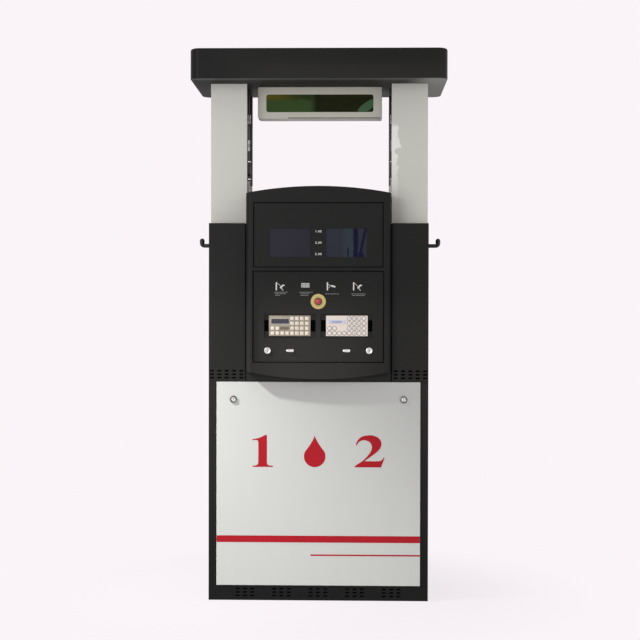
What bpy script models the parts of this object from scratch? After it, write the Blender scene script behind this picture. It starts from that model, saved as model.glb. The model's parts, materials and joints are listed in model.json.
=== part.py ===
"""Two-hose LPG dispenser: plinth, sheet-steel cabinet, display head, two open columns and a canopy.

Metres, +Z up, the front faces -Y. The origin is on the floor under the middle of the object.
Each piece is one named object, and a piece that moves has its origin on its joint's axis.
"""

import math

import bmesh
import bpy
from mathutils import Matrix, Vector

# ---------------------------------------------------------------- driving sizes

BODY_WIDTH = 0.878
BODY_DEPTH = 0.400
OVERALL_HEIGHT = 2.200

SHEET = 0.002  # folded steel
FIT = 0.0003  # running between faces that touch
REVEAL = 0.003  # gap round a door
BORE_PLAY = 0.0003  # radial clearance of a pin in its bore

PLINTH_HEIGHT = 0.060
PLINTH_WALL = 0.003
FOOT_FLANGE = 0.056
FOOT_THICKNESS = 0.004
ANCHOR_RADIUS = 0.007
PIPE_ENTRY_X = -0.100
PIPE_ENTRY_WIDTH = 0.300
PIPE_ENTRY_DEPTH = 0.180

CABINET_HEIGHT = 0.816  # from the plinth up to the deck
DECK_THICKNESS = 0.0034
DECK_MIDDLE_EDGE = 0.080  # deck left in front of and behind its middle opening
DECK_WING_EDGE = (0.020, 0.100)  # and round the opening under each wing
POST_WIDTH = 0.031
SEAT_WIDTH = 0.015

PANEL_PROUD = 0.003
PANEL_DEPTH = 0.018
PANEL_GAP = 0.001
PANEL_LOCK_INSET = 0.067  # from the panel's side edge
PANEL_LOCK_DROP = 0.069  # from the panel's top edge
PANEL_LOCK_RADIUS = 0.0145

HEAD_HEIGHT = 0.630  # wings, from the deck up
WING_WIDTH = 0.145
HEAD_CLEARANCE = 0.004  # between the head shell and each wing
HEAD_SIDE_HEIGHT = 0.748  # from the deck up to where the arch springs
ARCH_RISE = 0.027
BEZEL_PROJECTION = 0.042
BEZEL_WALL = 0.003
BEZEL_EDGE_RADIUS = 0.018
BEZEL_BOTTOM_SIDE = 0.038  # height of its bottom corners over the deck
APRON_HEIGHT = 0.056

DISPLAY_SIDE = 0.032  # between the display panel and the bezel's side
DISPLAY_HEIGHT = 0.252
DISPLAY_TOP_DROP = 0.041  # under the springing of the arch
DISPLAY_RECESS = 0.004
DOOR_SIDE = 0.029  # between the keypad door and the bezel's side
DOOR_HEIGHT = 0.359
DOOR_RECESS = 0.008
DOOR_SPACING = 0.019  # between the display panel and the keypad door
DOOR_DEPTH = 0.014
HINGE_BACK = 0.012  # hinge axis behind a door's face
HINGE_DROP = 0.006  # and under its top edge
HINGE_RADIUS = 0.003

WINDOW_WIDTH = 0.162
WINDOW_HEIGHT = 0.115
WINDOW_INNER_X = 0.031
WINDOW_RISE = 0.037  # over the display panel's bottom edge
LENS_THICKNESS = 0.003
LENS_RIM = 0.006

KEYPAD_WIDTH = 0.165
KEYPAD_HEIGHT = 0.081
KEYPAD_INNER_X = 0.031
KEYPAD_RISE = 0.103  # over the door's bottom edge
KEYPAD_THICKNESS = 0.0085
POCKET_DEPTH = 0.009
POCKET_STEP_DEPTH = 0.003
POCKET_SIDE = 0.022
NOTCH_HEIGHT = 0.045
KEY_PITCH = 0.0195
KEY_SIZE = 0.0135
KEY_TRAVEL = 0.001
KEY_MAT = 0.0012

ESTOP_RISE = 0.240  # over the door's bottom edge
ESTOP_PLATE_RADIUS = 0.030
ESTOP_COLLAR_RADIUS = 0.015
ESTOP_HOLE_RADIUS = 0.011
ESTOP_BUTTON_RADIUS = 0.0115
ESTOP_TRAVEL = 0.003
ESTOP_COLLAR_HEIGHT = 0.004
ESTOP_DOME = 0.006
PLATE_THICKNESS = 0.0015
CLEAR_OF_STOP = 0.0005

LOCK_X = 0.202
LOCK_RADIUS = 0.0135
LATCH_X = 0.112
LATCH_LENGTH = 0.033
LATCH_WIDTH = 0.014
LOCK_RISE = 0.045  # over the door's bottom edge

SLOT_WIDTH = 0.0155
SLOT_HEIGHT = 0.0065
SLOT_PITCH_X = 0.0293
SLOT_PITCH_Z = 0.0140

SERVICE_WIDTH = 0.460
SERVICE_HEIGHT = 0.600
SERVICE_RISE = 0.080  # over the deck
SERVICE_PROUD = 0.002

COLUMN_DEPTH = 0.240
COLUMN_WIDTH = 0.146
COLUMN_LIP = 0.020

CANOPY_HEIGHT = 0.121
CANOPY_OVERHANG_X = 0.072
CANOPY_OVERHANG_Y = 0.050
CANOPY_CORNER_RADIUS = 0.038
CANOPY_EDGE_RADIUS = 0.009
CANOPY_WALL = 0.002
SOFFIT = 0.003
BEAM = 0.040

SIGN_WIDTH = 0.510
SIGN_HEIGHT = 0.131
SIGN_DEPTH = 0.072
SIGN_WINDOW_WIDTH = 0.440
SIGN_WINDOW_HEIGHT = 0.072
SIGN_WINDOW_RISE = 0.028

HOOK_RISE = 0.548  # over the deck
HOOK_REACH = 0.059
HOOK_BAR_RADIUS = 0.008
HOOK_TIP_RADIUS = 0.010
HOOK_TIP_RISE = 0.030
HOOK_PIVOT_INSET = 0.014
HOOK_PLATE_HEIGHT = 0.070

HOSE_Y = 0.060
HOSE_INSET = 0.010  # hose line from the column's inner face
RISER_RADIUS = 0.0095
HOSE_RADIUS = 0.007

VESSEL_RADIUS = 0.070
VESSEL_HEIGHT = 0.430
METER_PEDESTAL = 0.300
METER_HEIGHT = 0.110
METER_RADIUS = 0.042
METER_PIPE_RADIUS = 0.013
METER_SPACING = 0.086
METER_PIPE_CLEARANCE = 0.016
VESSEL_SIDE = 0.067  # between the vessel and the cabinet's outer side
METER_VESSEL_GAP = 0.019
BOX_SIDE = 0.039  # between the junction box and the cabinet's outer side
BOX_WIDTH = 0.130

# ---------------------------------------------------------------- levels and planes

HALF_WIDTH = BODY_WIDTH / 2
HALF_DEPTH = BODY_DEPTH / 2
DECK_UNDER = PLINTH_HEIGHT + CABINET_HEIGHT
DECK_TOP = DECK_UNDER + FIT + DECK_THICKNESS
HEAD_BASE = DECK_TOP + FIT
WING_TOP = DECK_TOP + HEAD_HEIGHT
CANOPY_UNDER = OVERALL_HEIGHT - CANOPY_HEIGHT
WING_INNER_X = HALF_WIDTH - WING_WIDTH
SHELL_HALF = WING_INNER_X - HEAD_CLEARANCE
BEZEL_HALF = SHELL_HALF - BEZEL_WALL
ARCH_SPRING = DECK_TOP + HEAD_SIDE_HEIGHT
BEZEL_FACE = -HALF_DEPTH - BEZEL_PROJECTION
DISPLAY_WIDTH = 2 * (BEZEL_HALF - DISPLAY_SIDE)
DOOR_WIDTH = 2 * (BEZEL_HALF - DOOR_SIDE)
VESSEL_X = HALF_WIDTH - VESSEL_SIDE - VESSEL_RADIUS
METER_X = VESSEL_X - VESSEL_RADIUS - METER_VESSEL_GAP - METER_RADIUS - METER_SPACING / 2
PANEL_HALF = HALF_WIDTH - POST_WIDTH - PANEL_GAP
PANEL_LOCK_X = PANEL_HALF - PANEL_LOCK_INSET
PANEL_BOTTOM = PLINTH_HEIGHT + PANEL_GAP
PANEL_TOP = DECK_UNDER - PANEL_GAP
SEAT_FACE = HALF_DEPTH + PANEL_PROUD - PANEL_DEPTH - FIT  # distance from the middle plane
DISPLAY_TOP = ARCH_SPRING - DISPLAY_TOP_DROP
DISPLAY_BOTTOM = DISPLAY_TOP - DISPLAY_HEIGHT
DISPLAY_FACE = BEZEL_FACE + DISPLAY_RECESS
DOOR_TOP = DISPLAY_BOTTOM - DOOR_SPACING
DOOR_BOTTOM = DOOR_TOP - DOOR_HEIGHT
DOOR_FACE = BEZEL_FACE + DOOR_RECESS
WINDOW_BOTTOM = DISPLAY_BOTTOM + WINDOW_RISE
KEYPAD_BOTTOM = DOOR_BOTTOM + KEYPAD_RISE
POCKET_FLOOR = DOOR_FACE + POCKET_DEPTH
HOOK_Z = DECK_TOP + HOOK_RISE
COLUMN_INNER_X = HALF_WIDTH - COLUMN_WIDTH
COLUMN_BOTTOM = WING_TOP + FIT
COLUMN_TOP = CANOPY_UNDER - FIT
HOSE_X = COLUMN_INNER_X + HOSE_INSET
SIGN_BOTTOM = CANOPY_UNDER - FIT - SIGN_HEIGHT

ROUND = 16  # sides of a small round piece
SIDES = (("left", -1), ("right", 1))
FACES = (("front", -1), ("rear", 1))

# ---------------------------------------------------------------- finishes


def paint(name, colour, roughness, metallic=0.0):
    made = bpy.data.materials.new(name)
    made.use_nodes = True
    shader = made.node_tree.nodes["Principled BSDF"]
    shader.inputs["Base Color"].default_value = (*colour, 1)
    shader.inputs["Roughness"].default_value = roughness
    shader.inputs["Metallic"].default_value = metallic
    made.diffuse_color = (*colour, 1)
    return made


def clear_scene():
    for thing in list(bpy.data.objects):
        bpy.data.objects.remove(thing, do_unlink=True)


clear_scene()
BLACK = paint("black_powder_coat", (0.022, 0.022, 0.020), 0.55)
CANOPY_BLACK = paint("canopy_black", (0.018, 0.018, 0.017), 0.45)
PALE = paint("pale_grey_enamel", (0.55, 0.55, 0.52), 0.40)
WHITE = paint("panel_white", (0.66, 0.66, 0.63), 0.42)
CHROME = paint("chrome", (0.75, 0.75, 0.75), 0.15, 1.0)
STEEL = paint("zinc_steel", (0.45, 0.45, 0.44), 0.40, 1.0)
GLASS = paint("dark_lens", (0.030, 0.034, 0.060), 0.15)
GREEN_GLASS = paint("green_lens", (0.020, 0.060, 0.012), 0.12)
CIRCUIT = paint("circuit_board", (0.02, 0.10, 0.05), 0.50)
BEIGE = paint("keypad_beige", (0.40, 0.36, 0.29), 0.38, 0.6)
FILM = paint("keypad_film", (0.70, 0.60, 0.57), 0.35)
KEYS = paint("key_cap", (0.62, 0.57, 0.50), 0.35)
YELLOW = paint("stop_plate_yellow", (0.60, 0.46, 0.15), 0.45)
RED = paint("stop_button_red", (0.50, 0.03, 0.07), 0.35)
RUBBER = paint("hose_rubber", (0.60, 0.60, 0.58), 0.60)
CASTING = paint("grey_casting", (0.25, 0.27, 0.28), 0.60)
BRASS = paint("brass", (0.60, 0.42, 0.16), 0.30, 1.0)

# ---------------------------------------------------------------- shapes


def add_box(bm, low, high):
    """A box from its lowest to its highest corner."""
    low, high = Vector(low), Vector(high)
    size = high - low
    place = Matrix.Translation((low + high) / 2) @ Matrix.Diagonal((*size, 1))
    bmesh.ops.create_cube(bm, size=1, matrix=place)


def on_axis(axis, across, along):
    """A point from two coordinates across an axis and one along it."""
    first, second = across
    return {
        "X": (along, first, second),
        "Y": (first, along, second),
        "Z": (first, second, along),
    }[axis]


def add_prism(bm, outline, axis, start, end):
    """An outline, given in the plane across the axis, extruded from start to end."""
    verts = [bm.verts.new(on_axis(axis, point, start)) for point in outline]
    face = bm.faces.new(verts)
    swept = bmesh.ops.extrude_face_region(bm, geom=[face])
    moved = [item for item in swept["geom"] if isinstance(item, bmesh.types.BMVert)]
    bmesh.ops.translate(bm, verts=moved, vec=Vector(on_axis(axis, (0, 0), end - start)))
    bmesh.ops.recalc_face_normals(bm, faces=bm.faces)


def add_turned(bm, profile, axis, centre, sides=ROUND):
    """A profile of (radius, distance along the axis) turned round the axis through the centre."""
    centre = Vector(centre)
    points = [centre + Vector(on_axis(axis, (radius, 0), along)) for radius, along in profile]
    verts = [bm.verts.new(point) for point in points]
    edges = [bm.edges.new(pair) for pair in zip(verts, verts[1:])]
    direction = Vector(on_axis(axis, (0, 0), 1))
    bmesh.ops.spin(
        bm,
        geom=verts + edges,
        cent=centre,
        axis=direction,
        angle=2 * math.pi,
        steps=sides,
        use_merge=True,
    )
    bmesh.ops.remove_doubles(bm, verts=bm.verts, dist=1e-6)
    bmesh.ops.recalc_face_normals(bm, faces=bm.faces)


def add_rod(bm, axis, centre, radius, start, end, sides=ROUND):
    add_turned(bm, [(0, start), (radius, start), (radius, end), (0, end)], axis, centre, sides)


def make(name, build, material, origin=(0, 0, 0)):
    """An object whose mesh the build function fills in world coordinates."""
    bm = bmesh.new()
    build(bm)
    bmesh.ops.translate(bm, verts=bm.verts, vec=-Vector(origin))
    mesh = bpy.data.meshes.new(name)
    bm.to_mesh(mesh)
    bm.free()
    mesh.shade_smooth()
    mesh.set_sharp_from_angle(angle=math.radians(30))
    made = bpy.data.objects.new(name, mesh)
    made.location = origin
    if material:
        mesh.materials.append(material)
    bpy.context.scene.collection.objects.link(made)
    return made


def boolean(target, build, operation):
    """Cuts a helper from the target, or joins it on. The helper is not rendered."""
    count = len(target.modifiers)
    helper = make(f"{target.name}_tool_{count}", build, None)
    helper.hide_render = True
    helper.display_type = "WIRE"
    modifier = target.modifiers.new(f"{operation.lower()}_{count}", "BOOLEAN")
    modifier.operation = operation
    modifier.object = helper


def cut(target, build):
    boolean(target, build, "DIFFERENCE")


def join(target, build):
    boolean(target, build, "UNION")


def boxes(*corners):
    """A build function for several boxes, each given as (low, high)."""

    def build(bm):
        for low, high in corners:
            add_box(bm, low, high)

    return build


def sided(side, low, high):
    """A box given on the right-hand side, mirrored when side is -1."""
    xs = sorted((side * low[0], side * high[0]))
    return (xs[0], *low[1:]), (xs[1], *high[1:])


def faced(face, low, high):
    """A box given on the rear, turned to the front when face is -1."""
    ys = sorted((face * low[1], face * high[1]))
    return (low[0], ys[0], low[2]), (high[0], ys[1], high[2])


def rounded_rectangle(half_x, half_y, radius, steps=6):
    points = []
    for quarter, (sx, sy) in enumerate(((1, 1), (-1, 1), (-1, -1), (1, -1))):
        for step in range(steps + 1):
            angle = math.pi / 2 * (quarter + step / steps)
            points.append(
                (
                    sx * (half_x - radius) + radius * math.cos(angle),
                    sy * (half_y - radius) + radius * math.sin(angle),
                )
            )
    return points


def arc_points(half, ends, crown, steps=16):
    """Points of the shallow arc from (half, ends) over (0, crown) to (-half, ends)."""
    rise = crown - ends
    radius = (half**2 + rise**2) / (2 * rise)
    turn = math.asin(half / abs(radius)) * (1 if radius > 0 else -1)
    points = []
    for step in range(steps + 1):
        angle = turn * (1 - 2 * step / steps)
        points.append((radius * math.sin(angle), crown - radius + radius * math.cos(angle)))
    return points


def slot_boxes(columns, rows, y_low, y_high):
    """Vent slots centred on each column and row."""
    return boxes(
        *(
            (
                (x - SLOT_WIDTH / 2, y_low, z - SLOT_HEIGHT / 2),
                (x + SLOT_WIDTH / 2, y_high, z + SLOT_HEIGHT / 2),
            )
            for x in columns
            for z in rows
        )
    )


# ---------------------------------------------------------------- plinth and cabinet

FLOOR_SHEET = PLINTH_WALL
SLOT_GROUPS = 5
SLOT_GROUP_PITCH = BODY_WIDTH / 6


def build_plinth():
    inner_x = HALF_WIDTH - PLINTH_WALL
    inner_y = HALF_DEPTH - PLINTH_WALL
    plinth = make(
        "base_plinth",
        boxes(((-HALF_WIDTH, -HALF_DEPTH, 0), (HALF_WIDTH, HALF_DEPTH, PLINTH_HEIGHT))),
        BLACK,
    )
    under = PLINTH_HEIGHT - FLOOR_SHEET
    flange_x = inner_x - FOOT_FLANGE
    cut(
        plinth,
        boxes(
            ((-flange_x, -inner_y, -0.01), (flange_x, inner_y, under)),
        ),
    )
    for _, side in SIDES:
        near = (flange_x - 0.005, -inner_y, FOOT_THICKNESS)
        cut(plinth, boxes(sided(side, near, (inner_x, inner_y, under))))
    cut(
        plinth,
        boxes(
            (
                (PIPE_ENTRY_X - PIPE_ENTRY_WIDTH / 2, -PIPE_ENTRY_DEPTH / 2, under - 0.01),
                (PIPE_ENTRY_X + PIPE_ENTRY_WIDTH / 2, PIPE_ENTRY_DEPTH / 2, PLINTH_HEIGHT + 0.01),
            )
        ),
    )
    columns = [
        SLOT_GROUP_PITCH * group + SLOT_PITCH_X * column
        for group in range(-(SLOT_GROUPS // 2), SLOT_GROUPS // 2 + 1)
        for column in (-1, 0, 1)
    ]
    middle = PLINTH_HEIGHT / 2 + 0.002
    rows = [middle + SLOT_PITCH_Z * row for row in (-1, 0, 1)]
    for _, face in FACES:
        ys = sorted((face * (inner_y - 0.005), face * (HALF_DEPTH + 0.005)))
        cut(plinth, slot_boxes(columns, rows, *ys))

    def anchors(bm):
        for x in (-1, 1):
            for y in (-1, 1):
                centre = (x * (inner_x - FOOT_FLANGE / 2), y * inner_y * 0.75, 0)
                add_rod(bm, "Z", centre, ANCHOR_RADIUS, -0.005, FOOT_THICKNESS + 0.005, 12)

    cut(plinth, anchors)


def build_cabinet_sides():
    """Folded side sheets: each wraps round into the front and rear posts and the seats of the panels."""
    post = HALF_WIDTH - POST_WIDTH
    seat = post - SEAT_WIDTH
    quarter = [
        (post, HALF_DEPTH),
        (post, SEAT_FACE),
        (seat, SEAT_FACE),
        (seat, SEAT_FACE - SHEET),
        (post + SHEET, SEAT_FACE - SHEET),
        (post + SHEET, HALF_DEPTH - SHEET),
        (HALF_WIDTH - SHEET, HALF_DEPTH - SHEET),
    ]
    outline = [(HALF_WIDTH, -HALF_DEPTH), (HALF_WIDTH, HALF_DEPTH)]
    outline += quarter
    outline += [(x, -y) for x, y in reversed(quarter)]
    for label, side in SIDES:
        mirrored = [(side * x, y) for x, y in outline]
        make(
            f"cabinet_side_{label}",
            lambda bm: add_prism(bm, mirrored, "Z", PLINTH_HEIGHT + FIT, DECK_UNDER),
            BLACK,
        )


def build_deck():
    low = DECK_UNDER + FIT
    lip_x = HALF_WIDTH - POST_WIDTH - SEAT_WIDTH - PANEL_GAP
    deck = make(
        "mid_deck",
        boxes(((-HALF_WIDTH, -HALF_DEPTH, low), (HALF_WIDTH, HALF_DEPTH, DECK_TOP))),
        BLACK,
    )
    for _, face in FACES:
        join(
            deck,
            boxes(
                faced(
                    face,
                    (-lip_x, SEAT_FACE - SHEET, low - 0.020),
                    (lip_x, SEAT_FACE, low + DECK_THICKNESS / 2),
                )
            ),
        )
    bottom, top = low - 0.01, DECK_TOP + 0.01
    middle_x = METER_X + METER_SPACING / 2 + METER_PIPE_RADIUS + METER_PIPE_CLEARANCE
    middle_y = HALF_DEPTH - DECK_MIDDLE_EDGE
    cut(deck, boxes(((-middle_x, -middle_y, bottom), (middle_x, middle_y, top))))
    edge_x, edge_y = DECK_WING_EDGE
    wing_y = HALF_DEPTH - edge_y
    for _, side in SIDES:
        near = (WING_INNER_X + edge_x, -wing_y, bottom)
        far = (HALF_WIDTH - edge_x, wing_y, top)
        cut(deck, boxes(sided(side, near, far)))


def turned_lock(name, centre, face, radius, shaft, inside, cam, material=CHROME):
    """A cam lock through a sheet: a flat head with a keyhole outside, and a short cam inside."""
    outward = -face  # profile distances run outwards
    head = 0.005
    profile = [
        (0, inside),
        (shaft, inside),
        (shaft, -FIT),
        (radius, -FIT),
        (radius, -FIT - head * 0.6),
        (radius * 0.82, -FIT - head),
        (0, -FIT - head),
    ]
    profile = [(r, outward * d) for r, d in profile]
    lock = make(name, lambda bm: add_turned(bm, profile, "Y", centre), material, centre)
    x, y, z = centre
    ys = sorted((y + outward * inside, y + outward * (inside - 0.003)))
    cam_x = sorted((x, x + cam))
    join(lock, boxes(((cam_x[0], ys[0], z - shaft * 0.7), (cam_x[1], ys[1], z + shaft * 0.7))))
    ys = sorted((y - outward * (FIT + head - 0.0015), y - outward * (FIT + head + 0.01)))
    cut(lock, boxes(((x - 0.0012, ys[0], z - radius * 0.45), (x + 0.0012, ys[1], z + radius * 0.45))))
    return lock


LOCK_SHAFT = 0.0095


def build_lower_panels():
    """White steel trays that stand on the plinth, tip outwards at the top and are held by two locks."""
    lock_z = PANEL_TOP - PANEL_LOCK_DROP
    for label, face in FACES:
        outer = HALF_DEPTH + PANEL_PROUD
        hinge = (0, face * outer, PANEL_BOTTOM)
        low = (-PANEL_HALF, outer - PANEL_DEPTH, PANEL_BOTTOM)
        panel = make(
            f"{label}_lower_panel",
            boxes(faced(face, low, (PANEL_HALF, outer, PANEL_TOP))),
            WHITE,
            hinge,
        )
        cut(
            panel,
            boxes(
                faced(
                    face,
                    (SHEET - PANEL_HALF, outer - PANEL_DEPTH - 0.01, PANEL_BOTTOM + SHEET),
                    (PANEL_HALF - SHEET, outer - SHEET, PANEL_TOP - SHEET),
                )
            ),
        )

        def holes(bm, face=face, outer=outer):
            for x in (-PANEL_LOCK_X, PANEL_LOCK_X):
                add_rod(
                    bm,
                    "Y",
                    (x, face * outer, lock_z),
                    LOCK_SHAFT + BORE_PLAY,
                    -0.01,
                    0.01,
                )

        cut(panel, holes)
        for side_label, side in SIDES:
            turned_lock(
                f"{label}_panel_lock_{side_label}",
                (side * PANEL_LOCK_X, face * outer, lock_z),
                face,
                PANEL_LOCK_RADIUS,
                LOCK_SHAFT,
                PANEL_DEPTH + 0.006,
                side * 0.026,
            )


# ---------------------------------------------------------------- head


def build_wings():
    hook_low = HOOK_Z - HOOK_BAR_RADIUS - 0.006
    hook_high = HOOK_Z + HOOK_BAR_RADIUS + 0.002
    columns = [WING_INNER_X + 0.0145 + SLOT_PITCH_X * step for step in range(5)]
    rows = [HEAD_BASE + 0.011 + SLOT_PITCH_Z * step for step in range(3)]
    for label, side in SIDES:
        wing = make(
            f"wing_{label}",
            boxes(sided(side, (WING_INNER_X, -HALF_DEPTH, HEAD_BASE), (HALF_WIDTH, HALF_DEPTH, WING_TOP))),
            BLACK,
        )
        inner = HALF_DEPTH - SHEET
        cut(
            wing,
            boxes(
                sided(
                    side,
                    (WING_INNER_X - 0.01, -inner, HEAD_BASE - 0.01),
                    (HALF_WIDTH - SHEET, inner, WING_TOP - SHEET),
                )
            ),
        )
        channel = COLUMN_DEPTH / 2 - COLUMN_LIP
        cut(
            wing,
            boxes(
                sided(
                    side,
                    (WING_INNER_X - 0.01, -channel, WING_TOP - 0.01),
                    (HALF_WIDTH - COLUMN_LIP, channel, WING_TOP + 0.01),
                )
            ),
        )
        for _, face in FACES:
            ys = sorted((face * (inner - 0.005), face * (HALF_DEPTH + 0.005)))
            cut(wing, slot_boxes([side * x for x in columns], rows, *ys))
        slot_half = HOOK_BAR_RADIUS + 0.0015
        cut(
            wing,
            boxes(
                sided(
                    side,
                    (HALF_WIDTH - 0.01, -slot_half, hook_low),
                    (HALF_WIDTH + 0.01, slot_half, hook_high),
                )
            ),
        )


def arched(half, bottom, ends, crown, bottom_crown=None):
    """The head's outline in X and Z: an arch over straight sides, with an arched bottom if asked."""
    points = arc_points(half, ends, crown)
    if bottom_crown is None:
        return points + [(-half, bottom), (half, bottom)]
    return points + list(reversed(arc_points(half, bottom, bottom_crown)))


def build_head_shell():
    """The hood between the columns: arched top, two sides and a back with the service opening."""
    crown = ARCH_SPRING + ARCH_RISE
    shell = make(
        "head_shell",
        lambda bm: add_prism(
            bm, arched(SHELL_HALF, HEAD_BASE, ARCH_SPRING, crown), "Y", -HALF_DEPTH, HALF_DEPTH
        ),
        BLACK,
    )
    inner = arched(SHELL_HALF - SHEET, HEAD_BASE - 0.01, ARCH_SPRING - SHEET, crown - SHEET)
    cut(shell, lambda bm: add_prism(bm, inner, "Y", -HALF_DEPTH - 0.01, HALF_DEPTH - SHEET))
    half = SERVICE_WIDTH / 2 + REVEAL
    low = DECK_TOP + SERVICE_RISE - REVEAL
    high = DECK_TOP + SERVICE_RISE + SERVICE_HEIGHT + REVEAL
    seat = HALF_DEPTH + SERVICE_PROUD - DOOR_DEPTH - FIT
    join(
        shell,
        boxes(
            (
                (-half - SHEET, seat - SHEET, low - SHEET),
                (half + SHEET, HALF_DEPTH - SHEET / 2, high + SHEET),
            )
        ),
    )
    cut(shell, boxes(((-half, seat, low), (half, HALF_DEPTH + 0.02, high))))
    cut(
        shell,
        boxes(
            (
                (SEAT_WIDTH - half, seat - 0.02, low + SEAT_WIDTH),
                (half - SEAT_WIDTH, seat + 0.01, high - SEAT_WIDTH),
            )
        ),
    )


def hinge_axis(face_y, top):
    return face_y + HINGE_BACK, top - HINGE_DROP


def build_bezel():
    """The raised front cover: an open-backed pan with two door openings and hinge brackets."""
    crown = ARCH_SPRING + ARCH_RISE
    ends = DECK_TOP + BEZEL_BOTTOM_SIDE
    bottom_crown = ends - ARCH_RISE - 0.002
    back = -HALF_DEPTH - FIT

    def outer(bm):
        outline = arched(BEZEL_HALF, ends, ARCH_SPRING, crown, bottom_crown)
        add_prism(bm, outline, "Y", BEZEL_FACE, back)

        def at_side(vert):
            on_face = abs(vert.co.y - BEZEL_FACE) < 1e-6
            return on_face and abs(abs(vert.co.x) - BEZEL_HALF) < 1e-6

        edges = [edge for edge in bm.edges if all(at_side(vert) for vert in edge.verts)]
        bmesh.ops.bevel(
            bm, geom=edges, offset=BEZEL_EDGE_RADIUS, segments=5, profile=0.5, affect="EDGES"
        )

    bezel = make("bezel", outer, BLACK)
    inner = arched(
        BEZEL_HALF - BEZEL_WALL,
        ends + BEZEL_WALL,
        ARCH_SPRING - BEZEL_WALL,
        crown - BEZEL_WALL,
        bottom_crown + BEZEL_WALL,
    )

    def hollow(bm):
        add_prism(bm, inner, "Y", BEZEL_FACE + BEZEL_WALL, back + 0.01)
        edges = [
            edge
            for edge in bm.edges
            if all(
                abs(vert.co.y - BEZEL_FACE - BEZEL_WALL) < 1e-6
                and abs(abs(vert.co.x) - BEZEL_HALF + BEZEL_WALL) < 1e-6
                for vert in edge.verts
            )
        ]
        bmesh.ops.bevel(
            bm,
            geom=edges,
            offset=BEZEL_EDGE_RADIUS - BEZEL_WALL,
            segments=5,
            profile=0.5,
            affect="EDGES",
        )

    cut(bezel, hollow)
    for width, low, high in (
        (DISPLAY_WIDTH, DISPLAY_BOTTOM, DISPLAY_TOP),
        (DOOR_WIDTH, DOOR_BOTTOM, DOOR_TOP),
    ):
        half = width / 2 + REVEAL
        cut(
            bezel,
            boxes(
                (
                    (-half, BEZEL_FACE - 0.01, low - REVEAL),
                    (half, BEZEL_FACE + BEZEL_WALL + 0.002, high + REVEAL),
                )
            ),
        )
    for _, side in SIDES:
        join(bezel, hinge_bracket(side, DISPLAY_WIDTH, DISPLAY_FACE, DISPLAY_TOP))
        join(bezel, hinge_bracket(side, DOOR_WIDTH, DOOR_FACE, DOOR_TOP))
    cut(bezel, hinge_bore(DISPLAY_FACE, DISPLAY_TOP, BEZEL_HALF - BEZEL_WALL - 0.001))
    cut(bezel, hinge_bore(DOOR_FACE, DOOR_TOP, BEZEL_HALF - BEZEL_WALL - 0.001))


BRACKET_THICKNESS = 0.005
HINGE_EAR = 0.0075  # half the height of a hinge ear or bracket


def hinge_bracket(side, width, face_y, top):
    """A bracket behind the bezel, beside its door, that carries one end of the hinge rod."""
    y, z = hinge_axis(face_y, top)
    x = width / 2 + REVEAL + 0.001
    low = (x, BEZEL_FACE + BEZEL_WALL - 0.001, z - HINGE_EAR)
    high = (x + BRACKET_THICKNESS, y + HINGE_EAR, z + HINGE_EAR)
    return boxes(sided(side, low, high))


def hinge_bore(face_y, top, half):
    y, z = hinge_axis(face_y, top)
    return lambda bm: add_rod(bm, "X", (0, y, z), HINGE_RADIUS + BORE_PLAY, -half, half, 12)


def door_shell(name, width, face_y, bottom, top, material):
    """A steel tray behind the bezel's opening, with two ears on its hinge rod."""
    half = width / 2
    y, z = hinge_axis(face_y, top)
    door = make(
        name,
        boxes(((-half, face_y, bottom), (half, face_y + DOOR_DEPTH, top))),
        material,
        (0, y, z),
    )
    cut(
        door,
        boxes(
            (
                (SHEET - half, face_y + SHEET, bottom + SHEET),
                (half - SHEET, face_y + DOOR_DEPTH + 0.01, top - SHEET),
            )
        ),
    )
    for side in (-1, 1):
        ear = sided(
            side,
            (half - 0.030, face_y + SHEET / 2, z - HINGE_EAR),
            (half - 0.020, face_y + DOOR_DEPTH + 0.004, top - SHEET / 2),
        )
        join(door, boxes(ear))
    return door


def build_hinge_rods():
    for name, width, face_y, top in (
        ("display_hinge_rod", DISPLAY_WIDTH, DISPLAY_FACE, DISPLAY_TOP),
        ("door_hinge_rod", DOOR_WIDTH, DOOR_FACE, DOOR_TOP),
    ):
        y, z = hinge_axis(face_y, top)
        half = width / 2 + REVEAL + 0.001 + BRACKET_THICKNESS + 0.001
        make(name, lambda bm: add_rod(bm, "X", (0, y, z), HINGE_RADIUS, -half, half, 12), STEEL)


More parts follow.
